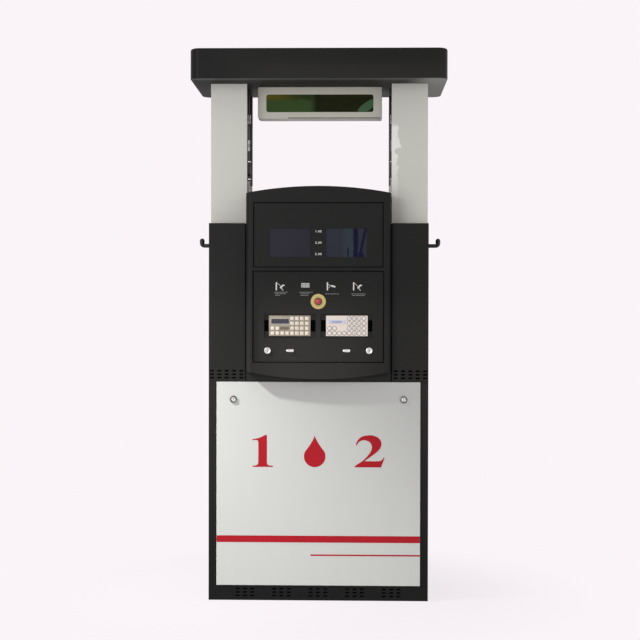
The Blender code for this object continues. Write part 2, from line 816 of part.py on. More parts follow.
def build_display_panel():
    panel = door_shell("display_panel", DISPLAY_WIDTH, DISPLAY_FACE, DISPLAY_BOTTOM, DISPLAY_TOP, BLACK)
    cut(panel, hinge_bore(DISPLAY_FACE, DISPLAY_TOP, DISPLAY_WIDTH / 2 + 0.01))
    top = WINDOW_BOTTOM + WINDOW_HEIGHT
    for label, side in SIDES:
        low_x, high_x = WINDOW_INNER_X, WINDOW_INNER_X + WINDOW_WIDTH
        cut(
            panel,
            boxes(
                sided(
                    side,
                    (low_x, DISPLAY_FACE - 0.01, WINDOW_BOTTOM),
                    (high_x, DISPLAY_FACE + 0.01, top),
                )
            ),
        )
        rim = LENS_RIM
        lens = make(
            f"display_lens_{label}",
            boxes(
                sided(
                    side,
                    (low_x - rim, DISPLAY_FACE + SHEET + FIT, WINDOW_BOTTOM - rim),
                    (high_x + rim, DISPLAY_FACE + SHEET + FIT + LENS_THICKNESS, top + rim),
                )
            ),
            GLASS,
        )
        join(
            lens,
            boxes(
                sided(
                    side,
                    (low_x + FIT, DISPLAY_FACE + 0.0008, WINDOW_BOTTOM + FIT),
                    (high_x - FIT, DISPLAY_FACE + SHEET + LENS_THICKNESS / 2, top - FIT),
                )
            ),
        )
    board = DISPLAY_FACE + SHEET + LENS_THICKNESS + 2 * FIT
    board_half = WINDOW_INNER_X + WINDOW_WIDTH + LENS_RIM
    module = make(
        "display_board",
        boxes(
            (
                (-board_half, board, WINDOW_BOTTOM - LENS_RIM),
                (board_half, board + 0.0016, top + LENS_RIM),
            )
        ),
        CIRCUIT,
    )
    cell_z = WINDOW_HEIGHT / 3
    for _, side in SIDES:
        for row in range(3):
            centre = WINDOW_BOTTOM + cell_z * (row + 0.5)
            join(
                module,
                boxes(
                    sided(
                        side,
                        (WINDOW_INNER_X + 0.010, board + 0.0008, centre - cell_z * 0.36),
                        (WINDOW_INNER_X + WINDOW_WIDTH - 0.010, board + 0.010, centre + cell_z * 0.36),
                    )
                ),
            )


KEY_COLUMNS = 8
KEY_ROWS = 4


def key_places():
    """(column, row) of each key: four full columns on the right, a full bottom row, two keys over it."""
    places = [(column, row) for column in range(4, KEY_COLUMNS) for row in range(KEY_ROWS)]
    places += [(column, 0) for column in range(4)]
    return places + [(0, 1), (1, 1)]


def key_centre(low_x, column, row):
    margin_x = (KEYPAD_WIDTH - KEY_PITCH * (KEY_COLUMNS - 1)) / 2
    margin_z = (KEYPAD_HEIGHT - KEY_PITCH * (KEY_ROWS - 1)) / 2
    return low_x + margin_x + KEY_PITCH * column, KEYPAD_BOTTOM + margin_z + KEY_PITCH * row


def add_keys(bm, low_x, half, round_keys, y_low, y_high):
    for column, row in key_places():
        x, z = key_centre(low_x, column, row)
        if round_keys:
            add_rod(bm, "Y", (x, 0, z), half, y_low, y_high, 10)
        else:
            add_box(bm, (x - half, y_low, z - half), (x + half, y_high, z + half))


def build_keypad_door():
    door = door_shell("keypad_door", DOOR_WIDTH, DOOR_FACE, DOOR_BOTTOM, DOOR_TOP, BLACK)
    cut(door, hinge_bore(DOOR_FACE, DOOR_TOP, DOOR_WIDTH / 2 + 0.01))
    pad_top = KEYPAD_BOTTOM + KEYPAD_HEIGHT
    middle = KEYPAD_BOTTOM + KEYPAD_HEIGHT / 2
    outer_low, outer_high = KEYPAD_BOTTOM - 0.009, pad_top + 0.007
    floor_back = POCKET_FLOOR + SHEET
    for _, side in SIDES:
        low_x = KEYPAD_INNER_X - POCKET_SIDE
        high_x = KEYPAD_INNER_X + KEYPAD_WIDTH + POCKET_SIDE - 0.003
        join(
            door,
            boxes(
                sided(
                    side,
                    (low_x - SHEET, DOOR_FACE + SHEET / 2, outer_low - SHEET),
                    (high_x + SHEET, floor_back, outer_high + SHEET),
                )
            ),
        )
        cut(
            door,
            boxes(
                sided(
                    side,
                    (low_x, DOOR_FACE - 0.01, outer_low),
                    (high_x, DOOR_FACE + POCKET_STEP_DEPTH, outer_high),
                )
            ),
        )
        cut(
            door,
            boxes(
                sided(
                    side,
                    (low_x, DOOR_FACE - 0.01, middle - NOTCH_HEIGHT / 2),
                    (high_x, POCKET_FLOOR, middle + NOTCH_HEIGHT / 2),
                )
            ),
        )
        cut(
            door,
            boxes(
                sided(
                    side,
                    (KEYPAD_INNER_X - FIT, DOOR_FACE - 0.01, KEYPAD_BOTTOM - FIT),
                    (KEYPAD_INNER_X + KEYPAD_WIDTH + FIT, POCKET_FLOOR, pad_top + FIT),
                )
            ),
        )

    def bores(bm):
        stop_z = DOOR_BOTTOM + ESTOP_RISE
        lock_z = DOOR_BOTTOM + LOCK_RISE
        add_rod(bm, "Y", (0, DOOR_FACE, stop_z), ESTOP_HOLE_RADIUS + BORE_PLAY, -0.01, 0.01)
        for side in (-1, 1):
            for x, shaft in ((LOCK_X, 0.008), (LATCH_X, 0.005)):
                centre = (side * x, DOOR_FACE, lock_z)
                add_rod(bm, "Y", centre, shaft + BORE_PLAY, -0.01, 0.01)

    cut(door, bores)


def build_keypads():
    """Each keypad is a fascia plate over a one-piece key mat, whose keys pass through the plate."""
    back = POCKET_FLOOR - FIT
    face_y = back - KEYPAD_THICKNESS
    mat_back = POCKET_FLOOR - KEY_TRAVEL - FIT
    mat_front = mat_back - KEY_MAT
    key_top = face_y - 0.0022
    pad_top = KEYPAD_BOTTOM + KEYPAD_HEIGHT
    for label, side in SIDES:
        round_keys = label == "right"
        low_x = KEYPAD_INNER_X if side > 0 else -KEYPAD_INNER_X - KEYPAD_WIDTH
        high_x = low_x + KEYPAD_WIDTH
        half = KEY_SIZE / 2
        fascia = make(
            f"keypad_fascia_{label}",
            boxes(((low_x, face_y, KEYPAD_BOTTOM), (high_x, back, pad_top))),
            FILM if round_keys else BEIGE,
        )
        cut(
            fascia,
            boxes(
                (
                    (low_x + 0.003, mat_front - 0.0006, KEYPAD_BOTTOM + 0.003),
                    (high_x - 0.003, back + 0.01, pad_top - 0.003),
                )
            ),
        )
        cut(fascia, lambda bm: add_keys(bm, low_x, half + 0.0004, round_keys, face_y - 0.01, back))
        window_x, window_z = key_centre(low_x, 0, 3)
        cut(
            fascia,
            boxes(
                (
                    (window_x - 0.004, face_y - 0.01, window_z - 0.0150),
                    (window_x + 0.068, face_y + 0.0015, window_z + 0.0075),
                )
            ),
        )
        mat_low = (low_x + 0.0045, mat_front, KEYPAD_BOTTOM + 0.0045)
        mat_high = (high_x - 0.0045, mat_back, pad_top - 0.0045)
        mat = make(f"key_mat_{label}", boxes((mat_low, mat_high)), KEYS)
        join(mat, lambda bm: add_keys(bm, low_x, half, round_keys, key_top, mat_front + KEY_MAT / 2))


def build_stop_button():
    """Legend plate, collar with its contact block, sprung plunger, and the red head that twists on it."""
    x, z = 0, DOOR_BOTTOM + ESTOP_RISE
    bore = 0.0082
    plate_back = DOOR_FACE - FIT
    plate_front = plate_back - PLATE_THICKNESS
    hole = ESTOP_HOLE_RADIUS + BORE_PLAY
    rim = ESTOP_PLATE_RADIUS
    chamfer = PLATE_THICKNESS * 0.4
    plate = [
        (hole, plate_back),
        (hole, plate_front),
        (rim - chamfer, plate_front),
        (rim, plate_front + chamfer),
        (rim, plate_back),
        (hole, plate_back),
    ]
    make("estop_plate", lambda bm: add_turned(bm, plate, "Y", (x, 0, z), 32), YELLOW)
    collar_back = plate_front - FIT
    collar_front = collar_back - ESTOP_COLLAR_HEIGHT
    body_back = DOOR_FACE + 0.012
    collar = [
        (bore, collar_front),
        (ESTOP_COLLAR_RADIUS - 0.002, collar_front),
        (ESTOP_COLLAR_RADIUS, collar_front + 0.002),
        (ESTOP_COLLAR_RADIUS, collar_back),
        (ESTOP_HOLE_RADIUS, collar_back),
        (ESTOP_HOLE_RADIUS, body_back),
        (bore, body_back),
        (bore, collar_front),
    ]
    base = make("estop_collar", lambda bm: add_turned(bm, collar, "Y", (x, 0, z), 24), CHROME)
    block = body_back - 0.001
    join(base, boxes(((x - 0.015, block, z - 0.015), (x + 0.015, block + 0.022, z + 0.015))))
    head_back = collar_front - ESTOP_TRAVEL - CLEAR_OF_STOP
    plunger_front = head_back + FIT
    plunger_back = block - ESTOP_TRAVEL - CLEAR_OF_STOP
    make(
        "estop_plunger",
        lambda bm: add_rod(bm, "Y", (x, 0, z), bore - BORE_PLAY, plunger_front, plunger_back),
        STEEL,
        (x, plunger_front, z),
    )
    front = head_back - ESTOP_DOME
    radius = ESTOP_BUTTON_RADIUS
    head = [
        (0, head_back),
        (radius, head_back),
        (radius, head_back - ESTOP_DOME * 0.55),
        (radius * 0.90, front + ESTOP_DOME * 0.15),
        (radius * 0.62, front),
        (0, front),
    ]
    make(
        "estop_head",
        lambda bm: add_turned(bm, head, "Y", (x, 0, z), 24),
        RED,
        (x, head_back, z),
    )


def build_door_locks():
    z = DOOR_BOTTOM + LOCK_RISE
    inside = DOOR_DEPTH + 0.004
    for label, side in SIDES:
        turned_lock(
            f"door_lock_{label}",
            (side * LOCK_X, DOOR_FACE, z),
            -1,
            LOCK_RADIUS,
            0.008,
            inside,
            side * 0.020,
        )
        centre = (side * LATCH_X, DOOR_FACE, z)
        x = centre[0]
        latch = make(
            f"door_latch_{label}",
            lambda bm: add_rod(bm, "Y", centre, 0.005, -FIT - 0.006, inside),
            CHROME,
            centre,
        )

        def pill(bm):
            straight = (LATCH_LENGTH - LATCH_WIDTH) / 2
            outline = []
            for end in (1, -1):
                for step in range(9):
                    angle = math.pi * (step / 8 - 0.5)
                    outline.append(
                        (
                            x + end * (straight + LATCH_WIDTH / 2 * math.cos(angle)),
                            z + end * LATCH_WIDTH / 2 * math.sin(angle),
                        )
                    )
            add_prism(bm, outline, "Y", DOOR_FACE - FIT - 0.009, DOOR_FACE - FIT)

        join(latch, pill)
        cam = sorted((x, x + side * 0.018))
        join(
            latch,
            boxes(
                (
                    (cam[0], DOOR_FACE + inside - 0.003, z - 0.004),
                    (cam[1], DOOR_FACE + inside + 0.001, z + 0.004),
                )
            ),
        )


def build_apron():
    half = SHELL_HALF - SHEET - FIT
    make(
        "head_apron",
        boxes(((-half, -HALF_DEPTH, HEAD_BASE), (half, -HALF_DEPTH + SHEET, HEAD_BASE + APRON_HEIGHT))),
        BLACK,
    )


def build_service_door():
    half = SERVICE_WIDTH / 2
    face_y = HALF_DEPTH + SERVICE_PROUD
    low, high = DECK_TOP + SERVICE_RISE, DECK_TOP + SERVICE_RISE + SERVICE_HEIGHT
    door = make(
        "rear_service_door",
        boxes(((-half, face_y - DOOR_DEPTH, low), (half, face_y, high))),
        BLACK,
        (half, face_y, low),
    )
    cut(
        door,
        boxes(
            (
                (SHEET - half, face_y - DOOR_DEPTH - 0.01, low + SHEET),
                (half - SHEET, face_y - SHEET, high - SHEET),
            )
        ),
    )
    lock_at = (-half + 0.035, face_y, (low + high) / 2)
    cut(door, lambda bm: add_rod(bm, "Y", lock_at, LOCK_SHAFT + BORE_PLAY, -0.01, 0.01))
    turned_lock("rear_service_lock", lock_at, 1, PANEL_LOCK_RADIUS, LOCK_SHAFT, DOOR_DEPTH + 0.004, 0.024)


# ---------------------------------------------------------------- nozzle hooks

HOOK_CHEEK = 0.003


def build_hooks():
    """A sprung nozzle hook on each side: a bar on a pin inside the wing, with an upturned end."""
    wall_inner = HALF_WIDTH - SHEET
    pivot_x = wall_inner - HOOK_PIVOT_INSET
    slot_low = HOOK_Z - HOOK_BAR_RADIUS - 0.006
    slot_high = HOOK_Z + HOOK_BAR_RADIUS + 0.002
    slot_half = HOOK_BAR_RADIUS + 0.0015
    for label, side in SIDES:
        plate_low = HOOK_Z - HOOK_PLATE_HEIGHT * 0.35
        plate_high = plate_low + HOOK_PLATE_HEIGHT
        bracket_face = wall_inner - FIT
        bracket = make(
            f"hook_bracket_{label}",
            boxes(
                sided(
                    side,
                    (bracket_face - 0.002, -0.026, plate_low),
                    (bracket_face, 0.026, plate_high),
                )
            ),
            STEEL,
        )
        slot_near = (bracket_face - 0.01, -slot_half, slot_low)
        slot_far = (bracket_face + 0.01, slot_half, slot_high)
        cut(bracket, boxes(sided(side, slot_near, slot_far)))
        for cheek in (-1, 1):
            inner = slot_half + FIT
            ys = sorted((cheek * inner, cheek * (inner + HOOK_CHEEK)))
            near = (pivot_x - 0.010, ys[0], HOOK_Z - 0.010)
            far = (bracket_face - 0.001, ys[1], HOOK_Z + 0.010)
            join(bracket, boxes(sided(side, near, far)))
        pin_half = slot_half + FIT + HOOK_CHEEK * 0.8
        pivot = (side * pivot_x, 0, HOOK_Z)
        join(bracket, lambda bm: add_rod(bm, "Y", pivot, 0.003, -pin_half, pin_half, 12))

        tip_x = HALF_WIDTH + HOOK_REACH - HOOK_TIP_RADIUS
        hook = make(
            f"nozzle_hook_{label}",
            lambda bm: add_rod(
                bm, "X", (0, 0, HOOK_Z), HOOK_BAR_RADIUS, side * (pivot_x - 0.008), side * tip_x, 16
            ),
            BLACK,
            (side * pivot_x, 0, HOOK_Z),
        )
        top = HOOK_TIP_RISE
        tip = [
            (0, -HOOK_BAR_RADIUS),
            (HOOK_TIP_RADIUS * 0.8, -HOOK_BAR_RADIUS),
            (HOOK_TIP_RADIUS, -HOOK_BAR_RADIUS + 0.003),
            (HOOK_TIP_RADIUS, top - 0.004),
            (HOOK_TIP_RADIUS * 0.7, top),
            (0, top),
        ]
        join(hook, lambda bm: add_turned(bm, tip, "Z", (side * tip_x, 0, HOOK_Z), 16))
        cut(hook, lambda bm: add_rod(bm, "Y", pivot, 0.003 + BORE_PLAY, -0.02, 0.02, 12))


# ---------------------------------------------------------------- columns and hose lines


def channel_outline(inner_x, outer_x, half_depth, lip, wall):
    """A C section in X and Y, open towards the middle of the object between two lips."""
    quarter = [
        (outer_x, half_depth),
        (inner_x, half_depth),
        (inner_x, half_depth - lip),
        (inner_x + wall, half_depth - lip),
        (inner_x + wall, half_depth - wall),
        (outer_x - wall, half_depth - wall),
    ]
    return quarter + [(x, -y) for x, y in reversed(quarter)]


def build_columns():
    half = COLUMN_DEPTH / 2
    outline = channel_outline(COLUMN_INNER_X, HALF_WIDTH, half, COLUMN_LIP, SHEET)
    for label, side in SIDES:
        shape = [(side * x, y) for x, y in outline]
        make(f"column_{label}", lambda bm: add_prism(bm, shape, "Z", COLUMN_BOTTOM, COLUMN_TOP), PALE)


RISER_TOP = 1.702
COUPLING_LENGTH = 0.085
LINE_COLLAR_RADIUS = 0.015
LINE_COLLAR_HEIGHT = 0.022


def build_hose_lines():
    """In each column: a pale tube up from the head, a breakaway coupling, and a thin line to the canopy."""
    coupling_low = RISER_TOP + FIT
    coupling_high = coupling_low + COUPLING_LENGTH
    for label, side in SIDES:
        centre = (side * HOSE_X, HOSE_Y, 0)
        make(
            f"riser_tube_{label}",
            lambda bm: add_rod(bm, "Z", centre, RISER_RADIUS, WING_TOP - 0.140, RISER_TOP, 16),
            RUBBER,
        )
        collar, body = 0.011, 0.013
        step = COUPLING_LENGTH * 0.24
        profile = [
            (0, coupling_low),
            (collar, coupling_low),
            (collar, coupling_low + step),
            (body, coupling_low + step + 0.002),
            (body, coupling_high - step - 0.002),
            (collar, coupling_high - step),
            (collar, coupling_high),
            (0, coupling_high),
        ]
        make(f"breakaway_{label}", lambda bm: add_turned(bm, profile, "Z", centre, 16), STEEL)
        line = [
            (0, coupling_high + FIT),
            (HOSE_RADIUS, coupling_high + FIT),
            (HOSE_RADIUS, COLUMN_TOP - LINE_COLLAR_HEIGHT),
            (LINE_COLLAR_RADIUS, COLUMN_TOP - LINE_COLLAR_HEIGHT),
            (LINE_COLLAR_RADIUS, COLUMN_TOP),
            (0, COLUMN_TOP),
        ]
        make(f"upper_line_{label}", lambda bm: add_turned(bm, line, "Z", centre, 12), RUBBER)


# ---------------------------------------------------------------- canopy and sign


def build_canopy():
    half_x = HALF_WIDTH + CANOPY_OVERHANG_X
    half_y = HALF_DEPTH + CANOPY_OVERHANG_Y

    def outer(bm):
        outline = rounded_rectangle(half_x, half_y, CANOPY_CORNER_RADIUS)
        add_prism(bm, outline, "Z", CANOPY_UNDER, OVERALL_HEIGHT)
        edges = [edge for edge in bm.edges if all(vert.co.z > OVERALL_HEIGHT - 1e-6 for vert in edge.verts)]
        bmesh.ops.bevel(
            bm, geom=edges, offset=CANOPY_EDGE_RADIUS, segments=3, profile=0.5, affect="EDGES"
        )

    shell = make("canopy_shell", outer, CANOPY_BLACK)
    wall = CANOPY_WALL
    inner = rounded_rectangle(half_x - wall, half_y - wall, CANOPY_CORNER_RADIUS - wall)
    cut(
        shell,
        lambda bm: add_prism(bm, inner, "Z", CANOPY_UNDER - 0.01, OVERALL_HEIGHT - CANOPY_EDGE_RADIUS),
    )
    inset = wall + FIT
    plate = rounded_rectangle(half_x - inset, half_y - inset, CANOPY_CORNER_RADIUS - inset)
    soffit = make(
        "canopy_soffit",
        lambda bm: add_prism(bm, plate, "Z", CANOPY_UNDER, CANOPY_UNDER + SOFFIT),
        BLACK,
    )
    for _, side in SIDES:
        cut(
            soffit,
            boxes(
                sided(
                    side,
                    (COLUMN_INNER_X + 0.030, -0.060, CANOPY_UNDER - 0.01),
                    (HALF_WIDTH - 0.030, 0.060, CANOPY_UNDER + SOFFIT + 0.01),
                )
            ),
        )
    low = CANOPY_UNDER + SOFFIT + FIT
    beam_x = HALF_WIDTH - 0.020
    beam_y = COLUMN_DEPTH / 2
    frame = make(
        "canopy_frame",
        boxes(((-beam_x, -beam_y, low), (beam_x, beam_y, low + BEAM))),
        STEEL,
    )
    bay = COLUMN_INNER_X - 0.020
    windows = [
        ((-bay, BEAM - beam_y, low - 0.01), (bay, beam_y - BEAM, low + BEAM + 0.01)),
        (
            (bay + BEAM, BEAM - beam_y, low - 0.01),
            (beam_x - BEAM / 2, beam_y - BEAM, low + BEAM + 0.01),
        ),
        (
            (BEAM / 2 - beam_x, BEAM - beam_y, low - 0.01),
            (-bay - BEAM, beam_y - BEAM, low + BEAM + 0.01),
        ),
    ]
    cut(frame, boxes(*windows))


def build_sign():
    half_x, half_y = SIGN_WIDTH / 2, SIGN_DEPTH / 2
    top = SIGN_BOTTOM + SIGN_HEIGHT
    sign = make(
        "sign_box",
        boxes(((-half_x, -half_y, SIGN_BOTTOM), (half_x, half_y, top))),
        PALE,
    )
    cut(
        sign,
        boxes(
            (
                (SHEET - half_x, SHEET - half_y, SIGN_BOTTOM + SHEET),
                (half_x - SHEET, half_y - SHEET, top - SHEET),
            )
        ),
    )
    window_low = SIGN_BOTTOM + SIGN_WINDOW_RISE
    window_high = window_low + SIGN_WINDOW_HEIGHT
    window_x = SIGN_WINDOW_WIDTH / 2
    cut(sign, boxes(((-window_x, -half_y - 0.01, window_low), (window_x, 0, window_high))))
    rim = 0.008
    pane = make(
        "sign_window",
        boxes(
            faced(
                -1,
                (-window_x - rim, half_y - SHEET - FIT - LENS_THICKNESS, window_low - rim),
                (window_x + rim, half_y - SHEET - FIT, window_high + rim),
            )
        ),
        GREEN_GLASS,
    )
    join(
        pane,
        boxes(
            faced(
                -1,
                (FIT - window_x, half_y - SHEET - LENS_THICKNESS / 2, window_low + FIT),
                (window_x - FIT, half_y - 0.0008, window_high - FIT),
            )
        ),
    )
    board = half_y - SHEET - LENS_THICKNESS - 0.012
    make(
        "sign_board",
        boxes(
            (
                (SHEET + FIT - half_x, -board, SIGN_BOTTOM + SHEET + FIT),
                (half_x - SHEET - FIT, board, window_high + 0.006),
            )
        ),
        CIRCUIT,
    )


# ---------------------------------------------------------------- works inside the cabinet

FLOOR_TOP = PLINTH_HEIGHT
VESSEL_Y = METER_Y = 0.020
INLET_X = PIPE_ENTRY_X
INLET_RADIUS = 0.017


def build_works():
    leg = 0.050
    vessel_low = FLOOR_TOP + FIT
    radius = VESSEL_RADIUS
    crown = radius * 0.45

    def vessel(bm):
        foot = vessel_low + leg
        top = foot + VESSEL_HEIGHT
        profile = [
            (0, vessel_low),
            (radius * 0.80, vessel_low),
            (radius * 0.80, foot),
            (radius, foot + 0.020),
            (radius, top - crown),
            (radius * 0.87, top - crown * 0.45),
            (radius * 0.50, top - crown * 0.10),
            (0.016, top),
            (0.016, top + 0.030),
            (0, top + 0.030),
        ]
        add_turned(bm, profile, "Z", (VESSEL_X, VESSEL_Y, 0), 20)

    make("separator_vessel", vessel, CASTING)

    for label, side in SIDES:
        x = METER_X + side * METER_SPACING / 2
        base = FLOOR_TOP + FIT
        case = base + METER_PEDESTAL
        cover = case + METER_HEIGHT
        profile = [
            (0, base),
            (0.032, base),
            (0.032, base + 0.006),
            (METER_PIPE_RADIUS, base + 0.010),
            (METER_PIPE_RADIUS, case - 0.006),
            (METER_RADIUS, case),
            (METER_RADIUS, case + 0.014),
            (METER_RADIUS * 0.84, case + 0.020),
            (METER_RADIUS * 0.84, cover - 0.020),
            (METER_RADIUS, cover - 0.014),
            (METER_RADIUS, cover),
            (METER_PIPE_RADIUS * 1.6, cover + 0.004),
            (METER_PIPE_RADIUS * 1.6, cover + 0.060),
            (METER_PIPE_RADIUS, cover + 0.064),
            (METER_PIPE_RADIUS, HEAD_BASE + 0.080),
            (0, HEAD_BASE + 0.080),
        ]
        make(
            f"flow_meter_{label}",
            lambda bm: add_turned(bm, profile, "Z", (x, METER_Y, 0), 16),
            CASTING,
        )

    box_x = BOX_SIDE - HALF_WIDTH
    low = (box_x, -0.060, FLOOR_TOP + FIT)
    make(
        "junction_box",
        boxes((low, (box_x + BOX_WIDTH, 0.060, FLOOR_TOP + 0.200))),
        CASTING,
    )
    ball_z = FLOOR_TOP + 0.120

    def inlet(bm):
        profile = [
            (0, 0.015),
            (INLET_RADIUS, 0.015),
            (INLET_RADIUS, ball_z - 0.040),
            (0.030, ball_z - 0.036),
            (0.030, ball_z + 0.036),
            (INLET_RADIUS, ball_z + 0.040),
            (INLET_RADIUS, ball_z + 0.110),
            (0, ball_z + 0.110),
        ]
        add_turned(bm, profile, "Z", (INLET_X, 0, 0), 16)

    valve = make("inlet_valve", inlet, BRASS)
    stem_start = -0.028
    stem_end = -0.046
    join(valve, lambda bm: add_rod(bm, "Y", (INLET_X, 0, ball_z), 0.009, stem_end, stem_start, 12))
    join(
        valve,
        boxes(
            (
                (INLET_X - 0.028, -PIPE_ENTRY_DEPTH / 2 - 0.015, FLOOR_TOP + FIT),
                (INLET_X + 0.028, PIPE_ENTRY_DEPTH / 2 + 0.015, FLOOR_TOP + 0.005),
            )
        ),
    )
    lever_at = (INLET_X, stem_end - FIT, ball_z)
    lever = make(
        "inlet_valve_lever",
        boxes(
            (
                (INLET_X - 0.011, stem_end - FIT - 0.005, ball_z - 0.011),
                (INLET_X + 0.011, stem_end - FIT, ball_z + 0.110),
            )
        ),
        YELLOW,
        lever_at,
    )
    join(
        lever,
        boxes(
            (
                (INLET_X - 0.011, stem_end - FIT - 0.018, ball_z + 0.098),
                (INLET_X + 0.011, stem_end - FIT - 0.001, ball_z + 0.110),
            )
        ),
    )


build_plinth()
build_cabinet_sides()
build_deck()
build_lower_panels()
build_wings()
build_head_shell()
build_bezel()
build_hinge_rods()
build_display_panel()
build_keypad_door()
build_keypads()
build_stop_button()
build_door_locks()
build_apron()
build_service_door()
build_hooks()
build_columns()
build_hose_lines()
build_canopy()
build_sign()
build_works()
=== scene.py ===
"""Looks of a two-hose LPG dispenser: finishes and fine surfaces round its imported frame.

Metres, +Z up, and the front faces -Y. Every piece rides on the body of the solid that it stands for.
"""

import json
import math

import bmesh
import bpy
import numpy as np
from mathutils import Matrix, Vector

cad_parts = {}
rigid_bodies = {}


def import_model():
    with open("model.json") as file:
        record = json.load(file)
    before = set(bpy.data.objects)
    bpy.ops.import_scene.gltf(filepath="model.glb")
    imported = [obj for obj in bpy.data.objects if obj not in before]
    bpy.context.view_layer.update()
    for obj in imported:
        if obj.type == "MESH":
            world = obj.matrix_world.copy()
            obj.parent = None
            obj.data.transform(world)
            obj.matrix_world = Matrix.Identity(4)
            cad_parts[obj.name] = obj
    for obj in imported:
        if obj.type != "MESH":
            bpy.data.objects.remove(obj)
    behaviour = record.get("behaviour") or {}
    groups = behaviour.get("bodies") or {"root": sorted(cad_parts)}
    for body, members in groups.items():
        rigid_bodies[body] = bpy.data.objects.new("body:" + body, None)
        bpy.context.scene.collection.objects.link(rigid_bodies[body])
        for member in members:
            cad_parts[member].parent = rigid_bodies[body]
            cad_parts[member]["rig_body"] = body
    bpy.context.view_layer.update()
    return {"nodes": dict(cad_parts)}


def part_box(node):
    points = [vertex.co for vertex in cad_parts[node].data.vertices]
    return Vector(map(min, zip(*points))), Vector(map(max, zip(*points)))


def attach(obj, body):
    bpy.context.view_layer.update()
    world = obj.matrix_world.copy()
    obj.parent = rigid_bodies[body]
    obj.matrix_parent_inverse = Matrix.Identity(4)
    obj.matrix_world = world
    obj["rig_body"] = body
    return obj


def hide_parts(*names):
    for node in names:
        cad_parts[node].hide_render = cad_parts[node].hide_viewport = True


for thing in list(bpy.data.objects):
    bpy.data.objects.remove(thing, do_unlink=True)

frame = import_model()
NODES = frame["nodes"]
BODY_OF = {node: thing["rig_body"] for node, thing in NODES.items()}
SIDES = (("left", -1), ("right", 1))
made_pieces = []

# ---------------------------------------------------------------- light, camera and floor

BACKDROP = (250, 244, 248)
SKY_LEVELS = (0.20, 0.72)  # the sky on the object, level and overhead; the camera sees 1


def in_scene(name, data):
    """A new object for a mesh, a curve, a lamp or a camera."""
    thing = bpy.data.objects.new(name, data)
    bpy.context.scene.collection.objects.link(thing)
    return thing


def linear(colour):
    """An 8-bit display colour as the linear values that the shaders take."""
    c = np.array(colour, float) / 255
    return tuple(np.where(c <= 0.04045, c / 12.92, ((c + 0.055) / 1.055) ** 2.4).tolist())


def feed(tree, slot, value):
    """Links a socket to a slot, or sets the slot's own value."""
    if isinstance(value, bpy.types.NodeSocket):
        tree.links.new(value, slot)
    else:
        slot.default_value = value


def put(tree, kind, feeds=None, **settings):
    """Adds a node with its settings, and feeds its inputs by name or number."""
    node = tree.nodes.new(kind)
    for key, value in settings.items():
        setattr(node, key, value)
    for key, value in (feeds or {}).items():
        feed(tree, node.inputs[key], value)
    return node


def calc(tree, operation, *values, clamp=False):
    """One step of arithmetic on sockets and numbers."""
    node = put(tree, "ShaderNodeMath", dict(enumerate(values)), operation=operation, use_clamp=clamp)
    return node.outputs[0]


def seen_directly(tree):
    """1 for camera, mirror and glass rays, which meet the backdrop itself."""
    path = put(tree, "ShaderNodeLightPath")
    seen = calc(tree, "MAXIMUM", path.outputs["Is Camera Ray"], path.outputs["Is Glossy Ray"])
    return calc(tree, "MAXIMUM", seen, path.outputs["Is Transmission Ray"])


def light_room():
    """A pale world that is dimmer on the object than it looks, and three soft lamps."""
    world = bpy.data.worlds.new("pale room")
    bpy.context.scene.world = world
    world.use_nodes = True
    tree = world.node_tree
    tree.nodes.clear()
    up = xyz(tree, put(tree, "ShaderNodeTexCoord").outputs["Generated"])[2]
    level = blend(tree, ramp(tree, up, 0.0, 0.9), (SKY_LEVELS[0],) * 3, (SKY_LEVELS[1],) * 3)
    shown = blend(tree, seen_directly(tree), level, linear(BACKDROP))
    sky = put(tree, "ShaderNodeBackground", {"Color": shown, "Strength": 1.0})
    put(tree, "ShaderNodeOutputWorld", {"Surface": sky.outputs[0]})

    def lamp(name, kind, place, target, power, **settings):
        data = bpy.data.lights.new(name, kind)
        data.energy = power
        for key, value in settings.items():
            setattr(data, key, value)
        thing = in_scene(name, data)
        thing.location = place
        thing.rotation_euler = (Vector(target) - Vector(place)).to_track_quat("-Z", "Y").to_euler()
        thing.visible_camera = False

    soft = {"shape": "DISK", "size": 2.8}
    lamp("left fill", "AREA", (-2.2, -4.0, 1.9), (0, 0, 1.3), 67, **soft)
    lamp("right fill", "AREA", (2.8, -3.2, 2.2), (0, 0, 1.1), 15, **soft)
    cone = {"spot_size": math.radians(42), "spot_blend": 1.0, "shadow_soft_size": 0.075}
    lamp("panel lamp", "SPOT", (-2.31, -0.96, 2.83), (-0.45, -0.2, 0.0), 900, **cone)


